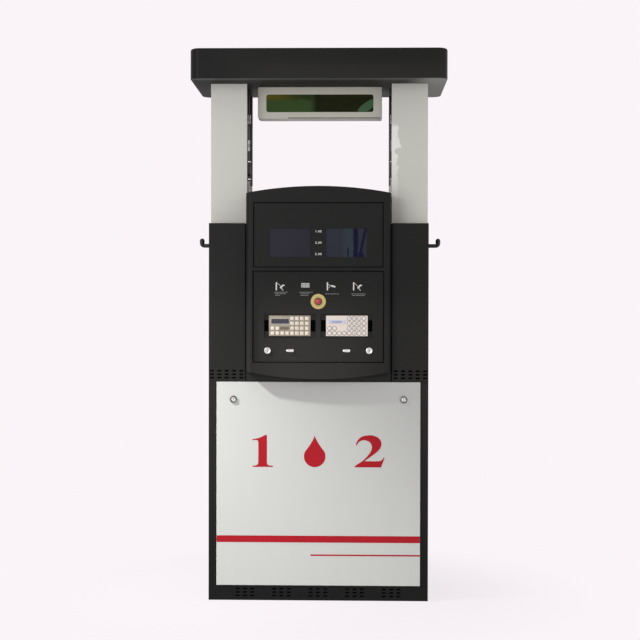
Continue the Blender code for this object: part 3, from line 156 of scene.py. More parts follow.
def lay_floor():
    """One plain sheet whose far part melts into the backdrop."""
    half = 12.0
    mesh = bpy.data.meshes.new("floor")
    corners = [(-half, -half, 0), (half, -half, 0), (half, half, 0), (-half, half, 0)]
    mesh.from_pydata(corners, [], [(0, 1, 2, 3)])
    floor = in_scene("floor", mesh)
    material = bpy.data.materials.new("pale floor")
    material.use_nodes = True
    tree = material.node_tree
    tree.nodes.clear()
    paint = {"Base Color": (*linear((176, 172, 175)), 1), "Roughness": 0.8, "Specular IOR Level": 0.2}
    base = put(tree, "ShaderNodeBsdfPrincipled", paint)
    level = put(tree, "ShaderNodeMapRange", {"Value": seen_directly(tree), "To Min": 0.52, "To Max": 1.0})
    light = {"Color": (*linear(BACKDROP), 1), "Strength": level.outputs[0]}
    glow = put(tree, "ShaderNodeEmission", light)
    place = put(tree, "ShaderNodeTexCoord").outputs["Object"]
    reach = put(tree, "ShaderNodeVectorMath", {0: place}, operation="LENGTH").outputs["Value"]
    range_of_floor = {"Value": reach, "From Min": 0.40, "From Max": 1.2, "To Min": 0.85}
    far = put(tree, "ShaderNodeMapRange", range_of_floor, interpolation_type="SMOOTHSTEP").outputs[0]
    mixed = put(tree, "ShaderNodeMixShader", {0: far, 1: base.outputs[0], 2: glow.outputs[0]})
    put(tree, "ShaderNodeOutputMaterial", {"Surface": mixed.outputs[0]})
    mesh.materials.append(material)


def set_camera():
    data = bpy.data.cameras.new("camera")
    data.sensor_width, data.lens = 36, 76.08
    camera = in_scene("camera", data)
    camera.location = (0.1362, -5.600, 1.1807)
    camera.rotation_euler = (math.radians(90 - 0.612), math.radians(-0.106), math.radians(1.381))
    bpy.context.scene.camera = camera
    bpy.context.scene.view_settings.view_transform = "Standard"


# ---------------------------------------------------------------- shared surface effects


def new_group(name, inputs, outputs):
    """(group tree, its given values, its results), with sockets of the given names and values."""
    tree = bpy.data.node_groups.new(name, "ShaderNodeTree")
    for label, kind, value in inputs:
        socket = tree.interface.new_socket(label, in_out="INPUT", socket_type=kind)
        if value is not None:
            socket.default_value = value
    for label in outputs:
        tree.interface.new_socket(label, in_out="OUTPUT", socket_type="NodeSocketFloat")
    return tree, tree.nodes.new("NodeGroupInput").outputs, tree.nodes.new("NodeGroupOutput").inputs


FLOAT, VECTOR = "NodeSocketFloat", "NodeSocketVector"
DUST = (158, 152, 142)


def noise(tree, vector, scale, detail=2.0, roughness=0.5):
    """Smooth noise, about 0.2 to 0.8 round a middle of 0.5."""
    feeds = {"Vector": vector, "Scale": scale, "Detail": detail, "Roughness": roughness}
    return put(tree, "ShaderNodeTexNoise", feeds).outputs[0]


def ramp(tree, value, low, high):
    """0 below low, 1 above high, and smooth between."""
    feeds = {"Value": value, "From Min": low, "From Max": high}
    return put(tree, "ShaderNodeMapRange", feeds, interpolation_type="SMOOTHSTEP").outputs[0]


def xyz(tree, vector):
    return put(tree, "ShaderNodeSeparateXYZ", {0: vector}).outputs


def fall(tree, value, low, high):
    """1 below low, 0 above high, and smooth between."""
    return calc(tree, "SUBTRACT", 1.0, ramp(tree, value, low, high))


def product(tree, first, *others):
    for other in others:
        first = calc(tree, "MULTIPLY", first, other)
    return first


def build_groups():
    """The node groups that the finishes share."""
    groups = {}

    # Sprayed skin: pimples of one size over swells of another.
    tree, given, out = new_group(
        "sprayed skin",
        [("Vector", VECTOR, None), ("Pimple", FLOAT, 700.0), ("Swell", FLOAT, 90.0)],
        ("Height", "Tone"),
    )
    fine = noise(tree, given["Vector"], given["Pimple"], 1.0)
    broad = noise(tree, given["Vector"], given["Swell"], 2.0)
    height = calc(tree, "MULTIPLY_ADD", fine, 0.55, product(tree, broad, 0.45))
    feed(tree, out["Height"], height)
    feed(tree, out["Tone"], ramp(tree, broad, 0.3, 0.7))
    groups["skin"] = tree

    # Clouding: broad soft patches with a finer mottle over them.
    tree, given, out = new_group("clouding", [("Vector", VECTOR, None), ("Scale", FLOAT, 6.0)], ("Tone",))
    broad = noise(tree, given["Vector"], given["Scale"], 4.0, 0.6)
    feed(tree, out["Tone"], ramp(tree, broad, 0.25, 0.75))
    groups["clouding"] = tree

    # Rubbed edges: the marked edge faces, broken up so that only parts of them are bare.
    tree, given, out = new_group(
        "rubbed edges",
        [("Edge", FLOAT, 0.0), ("Vector", VECTOR, None), ("Amount", FLOAT, 0.5)],
        ("Mask",),
    )
    patches = noise(tree, given["Vector"], 38.0, 3.0, 0.65)
    start = calc(tree, "SUBTRACT", 0.75, product(tree, given["Amount"], 0.5))
    bare = calc(tree, "MULTIPLY", calc(tree, "SUBTRACT", patches, start), 6.0, clamp=True)
    feed(tree, out["Mask"], product(tree, bare, given["Edge"]))
    groups["rub"] = tree

    # Dust: on faces that look up, and a thin haze low down.
    tree, given, out = new_group(
        "settled dust",
        [("Vector", VECTOR, None), ("Normal", VECTOR, None), ("Haze Top", FLOAT, 0.25)],
        ("Mask",),
    )
    flat = ramp(tree, xyz(tree, given["Normal"])[2], 0.55, 0.98)
    height = calc(tree, "DIVIDE", xyz(tree, given["Vector"])[2], given["Haze Top"])
    haze = calc(tree, "POWER", calc(tree, "SUBTRACT", 1.0, height, clamp=True), 2.0)
    speckle = noise(tree, given["Vector"], 160.0, 3.0, 0.7)
    cloud = noise(tree, given["Vector"], 3.5, 2.0, 0.5)
    cloud = calc(tree, "MULTIPLY_ADD", ramp(tree, cloud, 0.2, 0.8), 0.5, 0.5)
    spread = product(tree, ramp(tree, speckle, 0.2, 0.9), cloud)
    total = calc(tree, "MAXIMUM", flat, product(tree, haze, 0.8))
    feed(tree, out["Mask"], product(tree, total, spread))
    groups["dust"] = tree

    # Drawn lines: noise stretched by the given factors, so that it runs along one axis.
    tree, given, out = new_group(
        "drawn lines",
        [("Vector", VECTOR, None), ("Stretch", VECTOR, (1.0, 1.0, 1.0))],
        ("Height", "Tone"),
    )
    factors = {0: given["Vector"], 1: given["Stretch"]}
    drawn = put(tree, "ShaderNodeVectorMath", factors, operation="MULTIPLY").outputs[0]
    lines = noise(tree, drawn, 1.0, 3.0, 0.7)
    feed(tree, out["Height"], lines)
    feed(tree, out["Tone"], ramp(tree, lines, 0.3, 0.7))
    groups["lines"] = tree
    return groups


GROUPS = build_groups()


def use(tree, key, **feeds):
    """Places a shared group, whose inputs are named as its sockets with _ for a space."""
    node = put(tree, "ShaderNodeGroup", node_tree=GROUPS[key])
    for label, value in feeds.items():
        feed(tree, node.inputs[label.replace("_", " ")], value)
    return node.outputs


def blend(tree, factor, first, second):
    """A colour between two, each a socket or a linear triple."""
    node = put(tree, "ShaderNodeMix", data_type="RGBA")
    for slot, value in ((0, factor), (6, first), (7, second)):
        feed(tree, node.inputs[slot], (*value, 1) if isinstance(value, tuple) else value)
    return node.outputs[2]


def tint(tree, mask, colour, shown):
    """A colour that gives way to an 8-bit display colour where the mask is 1."""
    return blend(tree, mask, colour, linear(shown))


def shade(colour, by):
    return tuple(min(1.0, c * by) for c in colour)


def finish(
    name, colour, rough, metal=0.0, specular=0.5, coat=0.0, coat_rough=0.1, skin=None,
    cloud=(6.0, 0.06), rub=None, dust=0.0, haze_top=0.25, lines=None, rough_swing=0.06, extra=None,
):
    """A procedural finish. skin is (pimple scale, swell scale, depth), cloud is (scale, tone swing),
    rub is (bare colour, amount), dust is how strongly it covers, lines is (stretch, depth, tone swing),
    and extra(tree, vector, colour, roughness) may return a changed colour and roughness."""
    base = linear(colour)
    material = bpy.data.materials.new(name)
    material.use_nodes = True
    tree = material.node_tree
    sockets = tree.nodes["Principled BSDF"].inputs
    sockets["Metallic"].default_value = metal
    sockets["Specular IOR Level"].default_value = specular
    sockets["Coat Weight"].default_value = coat
    sockets["Coat Roughness"].default_value = coat_rough
    where = put(tree, "ShaderNodeTexCoord").outputs
    vector = where["Object"]
    patches = use(tree, "clouding", Vector=vector, Scale=cloud[0])["Tone"]
    paint = blend(tree, patches, shade(base, 1 - cloud[1]), shade(base, 1 + cloud[1]))
    swing = {"Value": patches, "To Min": max(0.02, rough - rough_swing), "To Max": rough + rough_swing}
    roughness = put(tree, "ShaderNodeMapRange", swing).outputs[0]
    heights = []
    if lines:
        stretch, depth, tone_swing = lines
        drawn = use(tree, "lines", Vector=vector, Stretch=stretch)
        heights.append((drawn["Height"], depth))
        paint = blend(tree, product(tree, drawn["Tone"], tone_swing), paint, shade(base, 0.35))
    if skin:
        pimple, swell, depth = skin
        heights.append((use(tree, "skin", Vector=vector, Pimple=pimple, Swell=swell)["Height"], depth))
    if extra:
        paint, roughness = extra(tree, vector, paint, roughness)
    if rub:
        edge = put(tree, "ShaderNodeAttribute", attribute_name="edge").outputs["Fac"]
        bare = use(tree, "rub", Edge=edge, Vector=vector, Amount=rub[1])["Mask"]
        paint = tint(tree, bare, paint, rub[0])
    if dust:
        settled = use(tree, "dust", Vector=vector, Normal=where["Normal"], Haze_Top=haze_top)["Mask"]
        cover = product(tree, settled, dust)
        paint = tint(tree, cover, paint, DUST)
        roughness = calc(tree, "MULTIPLY_ADD", cover, 0.4, roughness, clamp=True)
    feed(tree, sockets["Base Color"], paint)
    feed(tree, sockets["Roughness"], roughness)
    bump = None
    for height, depth in heights:
        feeds = {"Height": height, "Strength": 1.0, "Distance": depth}
        if bump:
            feeds["Normal"] = bump
        bump = put(tree, "ShaderNodeBump", feeds).outputs[0]
    if bump:
        feed(tree, sockets["Normal"], bump)
    return material


# ---------------------------------------------------------------- ways to make a piece

SAME_POINT = 2e-6  # points nearer than this are merged
FLAT_ANGLE, FOLD_ANGLE = 0.4, 35  # degrees: flatter edges are dissolved, sharper ones are eased


def note(piece, node, stands_in=False):
    """Puts a piece on a node's body. A piece that stands in replaces the node."""
    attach(piece, BODY_OF[node])
    if stands_in:
        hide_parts(node)
    made_pieces.append(piece)


def register(piece, node, material, stands_in=False):
    """Gives a piece its finish, and notes it on its node."""
    piece.data.materials.clear()
    piece.data.materials.append(material)
    note(piece, node, stands_in)


def solid(name, points, faces):
    """A piece from points and faces, with its doubles merged and its faces turned outwards."""
    mesh = bpy.data.meshes.new(name)
    mesh.from_pydata(np.asarray(points, float).reshape(-1, 3).tolist(), [], faces)
    shape = bmesh.new()
    shape.from_mesh(mesh)
    bmesh.ops.remove_doubles(shape, verts=shape.verts, dist=SAME_POINT)
    bmesh.ops.recalc_face_normals(shape, faces=shape.faces)
    shape.to_mesh(mesh)
    shape.free()
    mesh.shade_smooth()
    return in_scene(name, mesh)


def joined(name, things):
    """Several shapes as one piece."""
    points, faces, start = [], [], 0
    for thing in things:
        mesh = thing.data
        points += [tuple(vert.co) for vert in mesh.vertices]
        faces += [[start + k for k in face.vertices] for face in mesh.polygons]
        start = len(points)
        bpy.data.objects.remove(thing, do_unlink=True)
    return solid(name, points, faces)


def loft(name, rings, wrap=False):
    """Surface S(u, v): v runs round ring u, and u steps from ring to ring. Its ends are closed, or with
    wrap the last ring joins the first."""
    rings = np.asarray(rings, float)
    count, around = rings.shape[:2]
    index = np.arange(count * around).reshape(count, around)
    if wrap:
        index = np.concatenate([index, index[:1]])
    beside = np.roll(index, -1, axis=1)
    quads = np.stack([index[:-1], beside[:-1], beside[1:], index[1:]], axis=-1).reshape(-1, 4)
    ends = [] if wrap else [index[0][::-1].tolist(), index[-1].tolist()]
    return solid(name, rings, quads.tolist() + ends)


def rounded(x0, x1, z0, z1, radii, steps=8):
    """Closed outline: at each corner a quarter turn, p = centre + radius * (cos t, sin t).
    Corners run upper right, upper left, lower left, lower right."""
    radii = np.broadcast_to(np.asarray(radii, float), 4)
    t = np.linspace(0, math.pi / 2, steps + 1)
    parts = []
    for quarter, (x, z, sx, sz) in enumerate(
        ((x1, z1, -1, -1), (x0, z1, 1, -1), (x0, z0, 1, 1), (x1, z0, -1, 1))
    ):
        r = max(radii[quarter], 1e-5)
        turn = t + quarter * math.pi / 2
        parts.append(np.stack([x + sx * r + r * np.cos(turn), z + sz * r + r * np.sin(turn)], axis=1))
    return np.concatenate(parts)


def round_outline(x, z, radius, steps=48):
    """Circle: p = centre + radius * (cos t, sin t)."""
    t = np.arange(steps) * 2 * math.pi / steps
    return np.stack([x + radius * np.cos(t), z + radius * np.sin(t)], axis=1)


def lay(outline, depth, plane="Y"):
    """An outline at a depth: along Y it lies in X and Z, along Z in X and Y, along X in Y and Z."""
    a, b = outline[:, 0], outline[:, 1]
    d = np.full_like(a, depth)
    return np.stack({"Y": (a, d, b), "Z": (a, b, d), "X": (d, a, b)}[plane], axis=1)


def eased_ring(shape, level, way, edge, t, plane="Y"):
    """An outline drawn in by edge * (1 - sin t), at edge * (1 - cos t) inside a level."""
    return lay(shape(edge * (1 - math.sin(t))), level + way * edge * (1 - math.cos(t)), plane)


def slab(name, shape, face, back, edge, plane="Y", crown=0.0, steps=4, back_edge=None):
    """A block with rounded edges. shape(inset) is its outline drawn in by inset, and t runs from 0 to a
    quarter turn round each edge. A crown raises the face by crown * (1 - s * s), s falling from 1 at
    the edge to 0."""
    way = 1 if back > face else -1
    turn = np.linspace(0, math.pi / 2, steps + 1)
    rings = []
    if crown:
        reach = crown_reach(shape, edge)
        for s in (0.25, 0.5, 0.7, 0.85, 0.95):
            rings.append(lay(shape(edge + reach * (1 - s)), face - way * crown * (1 - s * s), plane))
    rings += [eased_ring(shape, face, way, edge, t, plane) for t in turn]
    back_edge = edge if back_edge is None else back_edge
    if back_edge:
        rings += [eased_ring(shape, back, -way, back_edge, t, plane) for t in turn[::-1]]
    else:
        rings.append(lay(shape(0), back, plane))
    return loft(name, rings)


def crown_reach(shape, edge):
    """How far the outline can still be drawn in before it closes on itself: just under half of its
    narrower side."""
    outline = shape(edge)
    return 0.48 * float(np.ptp(outline, axis=0).min())


def box_shape(x0, x1, z0, z1, radius, steps=6):
    """shape(inset) for a rounded rectangle whose corners tighten as it is drawn in."""
    radii = np.broadcast_to(np.asarray(radius, float), 4)

    def shape(inset):
        tight = np.maximum(radii - inset, 1e-5)
        return rounded(x0 + inset, x1 - inset, z0 + inset, z1 - inset, tight, steps)

    return shape


def node_shape(node, margin, radius, steps=6):
    """shape(inset) for the front outline of a node's box, less a margin."""
    low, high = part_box(node)
    return box_shape(low[0] + margin, high[0] - margin, low[2] + margin, high[2] - margin, radius, steps)


def disc_shape(x, z, radius, steps=48):
    """shape(inset) for a disc."""
    return lambda inset: round_outline(x, z, max(radius - inset, 1e-5), steps)


def eased(profile, ease, steps=3):
    """A profile whose inner corners are replaced by short curves, B(t) between the two legs."""
    points = [np.array(p, float) for p in profile]
    out = [points[0]]
    for before, corner, after in zip(points, points[1:], points[2:]):
        first, second = before - corner, after - corner
        a = corner + first * min(0.45, ease / max(np.linalg.norm(first), 1e-9))
        b = corner + second * min(0.45, ease / max(np.linalg.norm(second), 1e-9))
        for t in np.linspace(0, 1, steps + 1):
            out.append((1 - t) ** 2 * a + 2 * t * (1 - t) * corner + t * t * b)
    out.append(points[-1])
    return np.array(out)


def turned(name, profile, centre, axis="Z", sides=48, ease=0.0004, wrap=False):
    """A profile of (radius, distance along the axis) carried round it: (r cos t, r sin t, d)."""
    line = eased(profile, ease) if ease else np.array(profile, float)
    t = np.arange(sides) * 2 * math.pi / sides
    r, d = line[:, :1], np.repeat(line[:, 1:2], sides, axis=1)
    a, b = r * np.cos(t), r * np.sin(t)
    order = {"Z": (a, b, d), "Y": (a, d, b), "X": (d, a, b)}[axis]
    return loft(name, np.stack(order, axis=-1) + np.array(centre, float), wrap)


def rod_line(radius, low, high):
    """The profile of a plain round rod between two levels."""
    return [(0, low), (radius, low), (radius, high), (0, high)]


def band(name, inner, outer, front, back):
    """A flat ring between two outlines, from its front to its back."""
    return loft(name, [lay(inner, back), lay(inner, front), lay(outer, front), lay(outer, back)], wrap=True)


def swept(name, path, radii, sides=24):
    """A round section carried along a path: P(u) + r(u) * (side cos t + up sin t), with the frame
    turned from one point to the next by the least rotation."""
    path = np.asarray(path, float)
    radii = np.broadcast_to(np.asarray(radii, float), len(path))
    along = np.gradient(path, axis=0)
    along /= np.linalg.norm(along, axis=1, keepdims=True)
    side = np.cross(along[0], (0.3, 0.9, 0.2))
    side /= np.linalg.norm(side)
    t = np.arange(sides) * 2 * math.pi / sides
    rings = []
    for point, way, radius in zip(path, along, radii):
        side = side - way * np.dot(side, way)
        side /= np.linalg.norm(side)
        up = np.cross(way, side)
        rings.append(point + radius * (np.outer(np.cos(t), side) + np.outer(np.sin(t), up)))
    return loft(name, rings)


def folded(node, width, material, segments=2):
    """The sheet-metal solid with its folds and cut edges eased, standing for that solid."""
    mesh = NODES[node].data.copy()
    shape = bmesh.new()
    shape.from_mesh(mesh)
    bmesh.ops.remove_doubles(shape, verts=shape.verts, dist=SAME_POINT)
    bmesh.ops.dissolve_limit(
        shape,
        angle_limit=math.radians(FLAT_ANGLE),
        verts=shape.verts,
        edges=shape.edges,
        use_dissolve_boundaries=False,
    )
    shape.to_mesh(mesh)
    shape.free()
    mesh.materials.clear()
    for _ in range(2):  # the second place marks the eased edges, until apply_all
        mesh.materials.append(material)
    mesh.polygons.foreach_set("material_index", np.zeros(len(mesh.polygons), np.int32))
    mesh.shade_smooth()
    thing = in_scene(node + "_sheet", mesh)
    ease = thing.modifiers.new("eased edges", "BEVEL")
    ease.width, ease.segments, ease.limit_method = width, segments, "ANGLE"
    ease.angle_limit = math.radians(FOLD_ANGLE)
    ease.material = 1
    note(thing, node, True)


def apply_all():
    """Applies every modifier, weights the normals by face area, and marks the eased edges."""
    for thing in made_pieces:
        weigh = thing.modifiers.new("even faces", "WEIGHTED_NORMAL")
        weigh.mode, weigh.weight, weigh.keep_sharp = "FACE_AREA", 60, True
    bpy.context.view_layer.update()
    graph = bpy.context.evaluated_depsgraph_get()
    done = [
        (thing, bpy.data.meshes.new_from_object(thing.evaluated_get(graph), depsgraph=graph))
        for thing in made_pieces
    ]
    for thing, mesh in done:
        thing.modifiers.clear()
        thing.data = mesh
        if len(mesh.materials) > 1:
            index = np.zeros(len(mesh.polygons), np.int32)
            mesh.polygons.foreach_get("material_index", index)
            mark = mesh.attributes.new("edge", "FLOAT", "FACE")
            mark.data.foreach_set("value", (index == 1).astype(np.float32))
            mesh.polygons.foreach_set("material_index", np.zeros_like(index))
            mesh.materials.pop()


def digits(name, marks, height, depth, thickness=0.00012, spacing=1.0, bold=0.0):
    """Figures as thin plates. marks is a list of (text, x, z), each centred there."""
    upright = Matrix.Rotation(math.radians(90), 4, "X")
    parts = []
    for text, x, z in marks:
        curve = bpy.data.curves.new(name, "FONT")
        curve.body, curve.size = text, height * 1.38
        curve.align_x, curve.align_y = "CENTER", "CENTER"
        curve.extrude, curve.resolution_u = thickness / 2, 3
        curve.space_character, curve.offset = spacing, bold
        thing = in_scene(name, curve)
        bpy.context.view_layer.update()
        mesh = bpy.data.meshes.new_from_object(thing)
        bpy.data.objects.remove(thing, do_unlink=True)
        mesh.transform(Matrix.Translation((x, depth, z)) @ upright)
        parts.append(in_scene(name, mesh))
    return joined(name, parts)


def plates(name, outlines, face, thickness=0.00015):
    """Flat shapes lying on a front face, each an outline given a small thickness."""
    return joined(name, [loft(name, [lay(line, face - thickness), lay(line, face)]) for line in outlines])


def bar(x0, x1, z0, z1):
    """A printed bar's outline, with barely rounded corners."""
    return rounded(x0, x1, z0, z1, 0.0002, 2)


light_room()
lay_floor()
set_camera()

# ---------------------------------------------------------------- finishes

BLACK_BASE = (18, 19, 17)
METAL_BARE = (96, 95, 90)
# The colour of the painted sheen on the black parts.
PAINTED_SHEEN = (44, 43, 41)


def painted_sheen_film(tree, vector, colour, roughness):
    """A painted pale sheen over the middle of the height, weaker at its sides and its left end,
    and a darker foot."""
    x, _, z = xyz(tree, vector)
    sides = calc(tree, "MULTIPLY_ADD", ramp(tree, calc(tree, "ABSOLUTE", x), 0.08, 0.28), -0.6, 1.0)
    left = calc(tree, "MULTIPLY_ADD", fall(tree, x, -0.36, -0.20), -0.7, 1.0)
    level = product(tree, fall(tree, z, 1.06, 1.30), ramp(tree, z, 0.45, 0.90))
    colour = tint(tree, product(tree, level, sides, left), colour, PAINTED_SHEEN)
    foot = product(tree, fall(tree, z, 0.15, 0.50), 0.9)
    return tint(tree, foot, colour, (5, 5, 4)), roughness


def canopy_painted_sheen(tree, vector, colour, roughness):
    """Painted shade at the left end, and a painted pale sheen that grows towards the lower edge
    elsewhere.
    """
    x, _, z = xyz(tree, vector)
    film = product(tree, ramp(tree, x, -0.38, -0.10), fall(tree, z, 2.10, 2.17), 0.45)
    colour = tint(tree, film, colour, PAINTED_SHEEN)
    left = product(tree, fall(tree, x, -0.45, -0.28), 0.85)
    return tint(tree, left, colour, (3, 3, 2)), roughness


black = finish(
    "black powder coat", BLACK_BASE, 0.50, specular=0.17, skin=(900.0, 160.0, 0.00012),
    cloud=(5.0, 0.06), rub=(METAL_BARE, 0.16), dust=0.16, haze_top=0.001, rough_swing=0.03,
    extra=painted_sheen_film,
)
canopy_black = finish(
    "canopy black", (16, 17, 14), 0.44, specular=0.17, skin=(800.0, 60.0, 0.0001),
    cloud=(3.0, 0.05), rub=(METAL_BARE, 0.13), dust=0.14, haze_top=0.001, rough_swing=0.03,
    extra=canopy_painted_sheen,
)


def soffit_shading(tree, vector, colour, roughness):
    """A painted reflection, paler just behind the front fold and towards the right-hand front corner,
    and painted shade at the left end."""
    x, y, _ = xyz(tree, vector)
    left = product(tree, fall(tree, x, -0.46, -0.22), 0.6)
    colour = tint(tree, left, colour, (12, 12, 11))
    front = product(tree, fall(tree, y, -0.235, -0.19), 0.30)
    back = calc(tree, "MULTIPLY_ADD", ramp(tree, y, -0.24, 0.22), -0.35, 1.0)
    corner = product(tree, ramp(tree, x, 0.33, 0.46), back, 0.9)
    return tint(tree, calc(tree, "MAXIMUM", front, corner), colour, (158, 161, 155)), roughness


soffit_black = finish(
    "soffit black", (56, 56, 53), 0.65, specular=0.12, skin=(800.0, 60.0, 0.0001),
    cloud=(3.0, 0.08), rub=(METAL_BARE, 0.15), extra=soffit_shading,
)


def painted_pocket_shade(tree, vector, colour, roughness):
    """The door, with the painted sheen of the black parts, and painted shade in its keypad pockets,
    dark round the pads' middle, where they are open, and less dark above and below."""
    colour, roughness = painted_sheen_film(tree, vector, colour, roughness)
    low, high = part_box("keypad_fascia_left")
    _, y, z = xyz(tree, vector)
    sunk = calc(tree, "GREATER_THAN", y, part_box("keypad_door")[0][1] + 0.0012)
    off = calc(tree, "ABSOLUTE", calc(tree, "SUBTRACT", z, (low[2] + high[2]) / 2))
    within = calc(tree, "LESS_THAN", off, 0.0500)
    dark = calc(tree, "MULTIPLY_ADD", fall(tree, off, 0.0215, 0.0235), 0.55, 0.35)
    return tint(tree, product(tree, sunk, within, dark), colour, (3, 3, 3)), roughness


door_black = finish(
    "black powder coat, door", BLACK_BASE, 0.50, specular=0.17, skin=(900.0, 160.0, 0.00012),
    cloud=(5.0, 0.08), rub=(METAL_BARE, 0.16), extra=painted_pocket_shade,
)
screen_mesh = finish("vent mesh", (4, 4, 4), 0.8, specular=0.05, cloud=(30.0, 0.1))
# Painted shade for the floors of the keypad pockets.
pocket_shade_black = finish("pocket shade sheet", (5, 5, 5), 0.9, specular=0.02, cloud=(60.0, 0.15))
duct_grey = finish("duct grey", (92, 94, 91), 0.5, specular=0.3, cloud=(12.0, 0.05))
rubber_black = finish("edge seal rubber", (12, 12, 12), 0.7, specular=0.15, cloud=(30.0, 0.1))
hook_black = finish(
    "hook black", (20, 20, 20), 0.42, specular=0.4, skin=(1500.0, 300.0, 0.0001),
    rub=(METAL_BARE, 0.45),
)


def film_patches_and_inner_shade(tree, vector, colour, roughness):
    """Leftover film near the right column's inner edge, a ragged lighter, glossier strip; and painted
    shade on the faces that look into the column.
    """
    x, y, z = xyz(tree, vector)
    low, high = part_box("column_right")
    notch = calc(tree, "ABSOLUTE", calc(tree, "SUBTRACT", z, 1.806))
    notch = product(tree, fall(tree, notch, 0.004, 0.016), -0.016)
    slimmer = product(tree, fall(tree, z, 1.79, 1.83), -0.006)
    reach = calc(tree, "MULTIPLY_ADD", noise(tree, vector, 26.0, 3.0, 0.55), 0.050, low[0] + 0.009)
    reach = calc(tree, "ADD", reach, calc(tree, "ADD", notch, slimmer))
    inside = calc(tree, "MULTIPLY", calc(tree, "SUBTRACT", reach, x), 160.0, clamp=True)
    length = product(tree, ramp(tree, z, 1.54, 1.82), fall(tree, z, 1.900, 1.920))
    right = calc(tree, "GREATER_THAN", x, 0.1)
    front = calc(tree, "LESS_THAN", y, -0.119)
    mask = product(tree, inside, length, right, front, 0.95)
    colour = tint(tree, mask, colour, (255, 255, 249))
    roughness = calc(tree, "SUBTRACT", roughness, product(tree, mask, 0.2), clamp=True)
    # Painted shade: the faces that look into the column are darker.
    across = calc(tree, "LESS_THAN", calc(tree, "ABSOLUTE", x), high[0] - 0.0012)
    deep = calc(tree, "LESS_THAN", calc(tree, "ABSOLUTE", y), high[1] - 0.0012)
    return tint(tree, product(tree, across, deep), colour, (70, 71, 68)), roughness


column_grey = finish(
    "pale grey gloss", (217, 217, 208), 0.38, specular=0.40, coat=0.12, coat_rough=0.15,
    skin=(500.0, 70.0, 0.00008), cloud=(2.2, 0.012), rub=((236, 234, 226), 0.5), dust=0.22,
    extra=film_patches_and_inner_shade,
)
sign_grey = finish(
    "sign grey", (212, 210, 197), 0.42, specular=0.4, skin=(600.0, 90.0, 0.00008),
    cloud=(6.0, 0.03), rub=((226, 224, 214), 0.5), dust=0.3,
)


def panel_wear(tree, vector, colour, roughness):
    """Faint runs down the panel and a greyer foot."""
    drawn = use(tree, "lines", Vector=vector, Stretch=(26.0, 26.0, 1.6))["Tone"]
    foot = fall(tree, xyz(tree, vector)[2], 0.05, 0.30)
    mask = product(tree, drawn, calc(tree, "MULTIPLY_ADD", foot, 0.03, 0.015))
    return tint(tree, mask, colour, (150, 146, 138)), roughness


panel_white = finish(
    "panel white", (197, 198, 194), 0.34, specular=0.40, coat=0.15, coat_rough=0.10,
    skin=(420.0, 60.0, 0.00007), cloud=(1.2, 0.008), rub=((240, 240, 238), 0.6), dust=0.2,
    haze_top=0.2, extra=panel_wear,
)
stripe_red = finish(
    "red film", (164, 12, 28), 0.40, specular=0.25, skin=(500.0, 80.0, 0.00004),
    cloud=(8.0, 0.05),
)
chrome = finish(
    "chrome", (214, 214, 212), 0.10, metal=1.0, cloud=(60.0, 0.05), rough_swing=0.05,
)
steel = finish(
    "zinc steel", (168, 170, 170), 0.34, metal=1.0, cloud=(70.0, 0.16), rough_swing=0.12,
    skin=(300.0, 120.0, 0.00006), dust=0.3,
)
chrome_dull = finish(
    "dull chrome", (112, 112, 108), 0.20, metal=1.0, cloud=(60.0, 0.05), rough_swing=0.05,
)
rod_steel = finish(
    "blackened steel", (44, 44, 43), 0.45, metal=0.6, cloud=(70.0, 0.1), rough_swing=0.1,
)
bright_steel = finish(
    "bright steel", (226, 226, 222), 0.22, metal=1.0, cloud=(70.0, 0.05), rough_swing=0.08,
)
coupling_dark = finish(
    "dark coupling", (58, 58, 56), 0.42, metal=0.4, cloud=(70.0, 0.1), rough_swing=0.1,
)
collar_bronze = finish("dull collar", (116, 92, 62), 0.34, metal=0.85, cloud=(90.0, 0.08))
slot_dark = finish("slot dark", (14, 14, 14), 0.6, specular=0.2, cloud=(40.0, 0.2))


def lens_depth(tree, vector, colour, roughness):
    """A slow change of depth across the dark pane."""
    tilt = noise(tree, vector, 7.0, 2.0)
    return tint(tree, ramp(tree, tilt, 0.4, 0.65), colour, (48, 48, 58)), roughness


def streak(tree, x, z, foot, lean, half, low, high):
    """A soft stroke: 1 where |x - foot - lean * (z - low)| is under half, between two levels."""
    line = calc(tree, "MULTIPLY_ADD", z, lean, foot - lean * low)
    off = calc(tree, "ABSOLUTE", calc(tree, "SUBTRACT", x, line))
    inside = fall(tree, off, half * 0.6, half * 1.3)
    above = ramp(tree, z, low - 0.004, low + 0.008)
    return product(tree, inside, above, fall(tree, z, high - 0.008, high + 0.004))


def lens_streaks(tree, vector, colour, roughness):
    """Darker blue streaks near the pane's right end, over a cooler band just left of them."""
    low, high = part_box("display_lens_right")
    x, _, z = xyz(tree, vector)
    x = calc(tree, "ADD", x, calc(tree, "MULTIPLY_ADD", noise(tree, vector, 60.0, 3.0), 0.007, -0.0035))
    cool = product(tree, ramp(tree, x, 0.085, 0.115), calc(tree, "LESS_THAN", x, 0.136))
    colour = tint(tree, cool, colour, (50, 60, 68))
    strokes = [
        streak(tree, x, z, foot, lean, half, low[2], top)
        for foot, lean, half, top in (
            (0.148, 0.0, 0.0095, high[2]), (0.162, 0.21, 0.0055, high[2]),
            (0.168, 0.0, 0.0120, low[2] + 0.028), (0.117, 0.0, 0.0030, low[2] + 0.046),
        )
    ]
    mask = strokes[0]
    for stroke in strokes[1:]:
        mask = calc(tree, "MAXIMUM", mask, stroke)
    grain = ramp(tree, noise(tree, vector, 150.0, 2.0), 0.2, 0.5)
    mask = product(tree, mask, calc(tree, "MULTIPLY_ADD", grain, 0.3, 0.7))
    return tint(tree, mask, colour, (14, 11, 48)), roughness


lens_dark = finish(
    "smoked pane", (44, 44, 54), 0.12, specular=0.10, cloud=(9.0, 0.10), rough_swing=0.03,
    extra=lens_depth,
)
lens_slate = finish(
    "smoked pane, paler", (47, 49, 60), 0.12, specular=0.10, cloud=(9.0, 0.08), rough_swing=0.03,
    extra=lens_streaks,
)


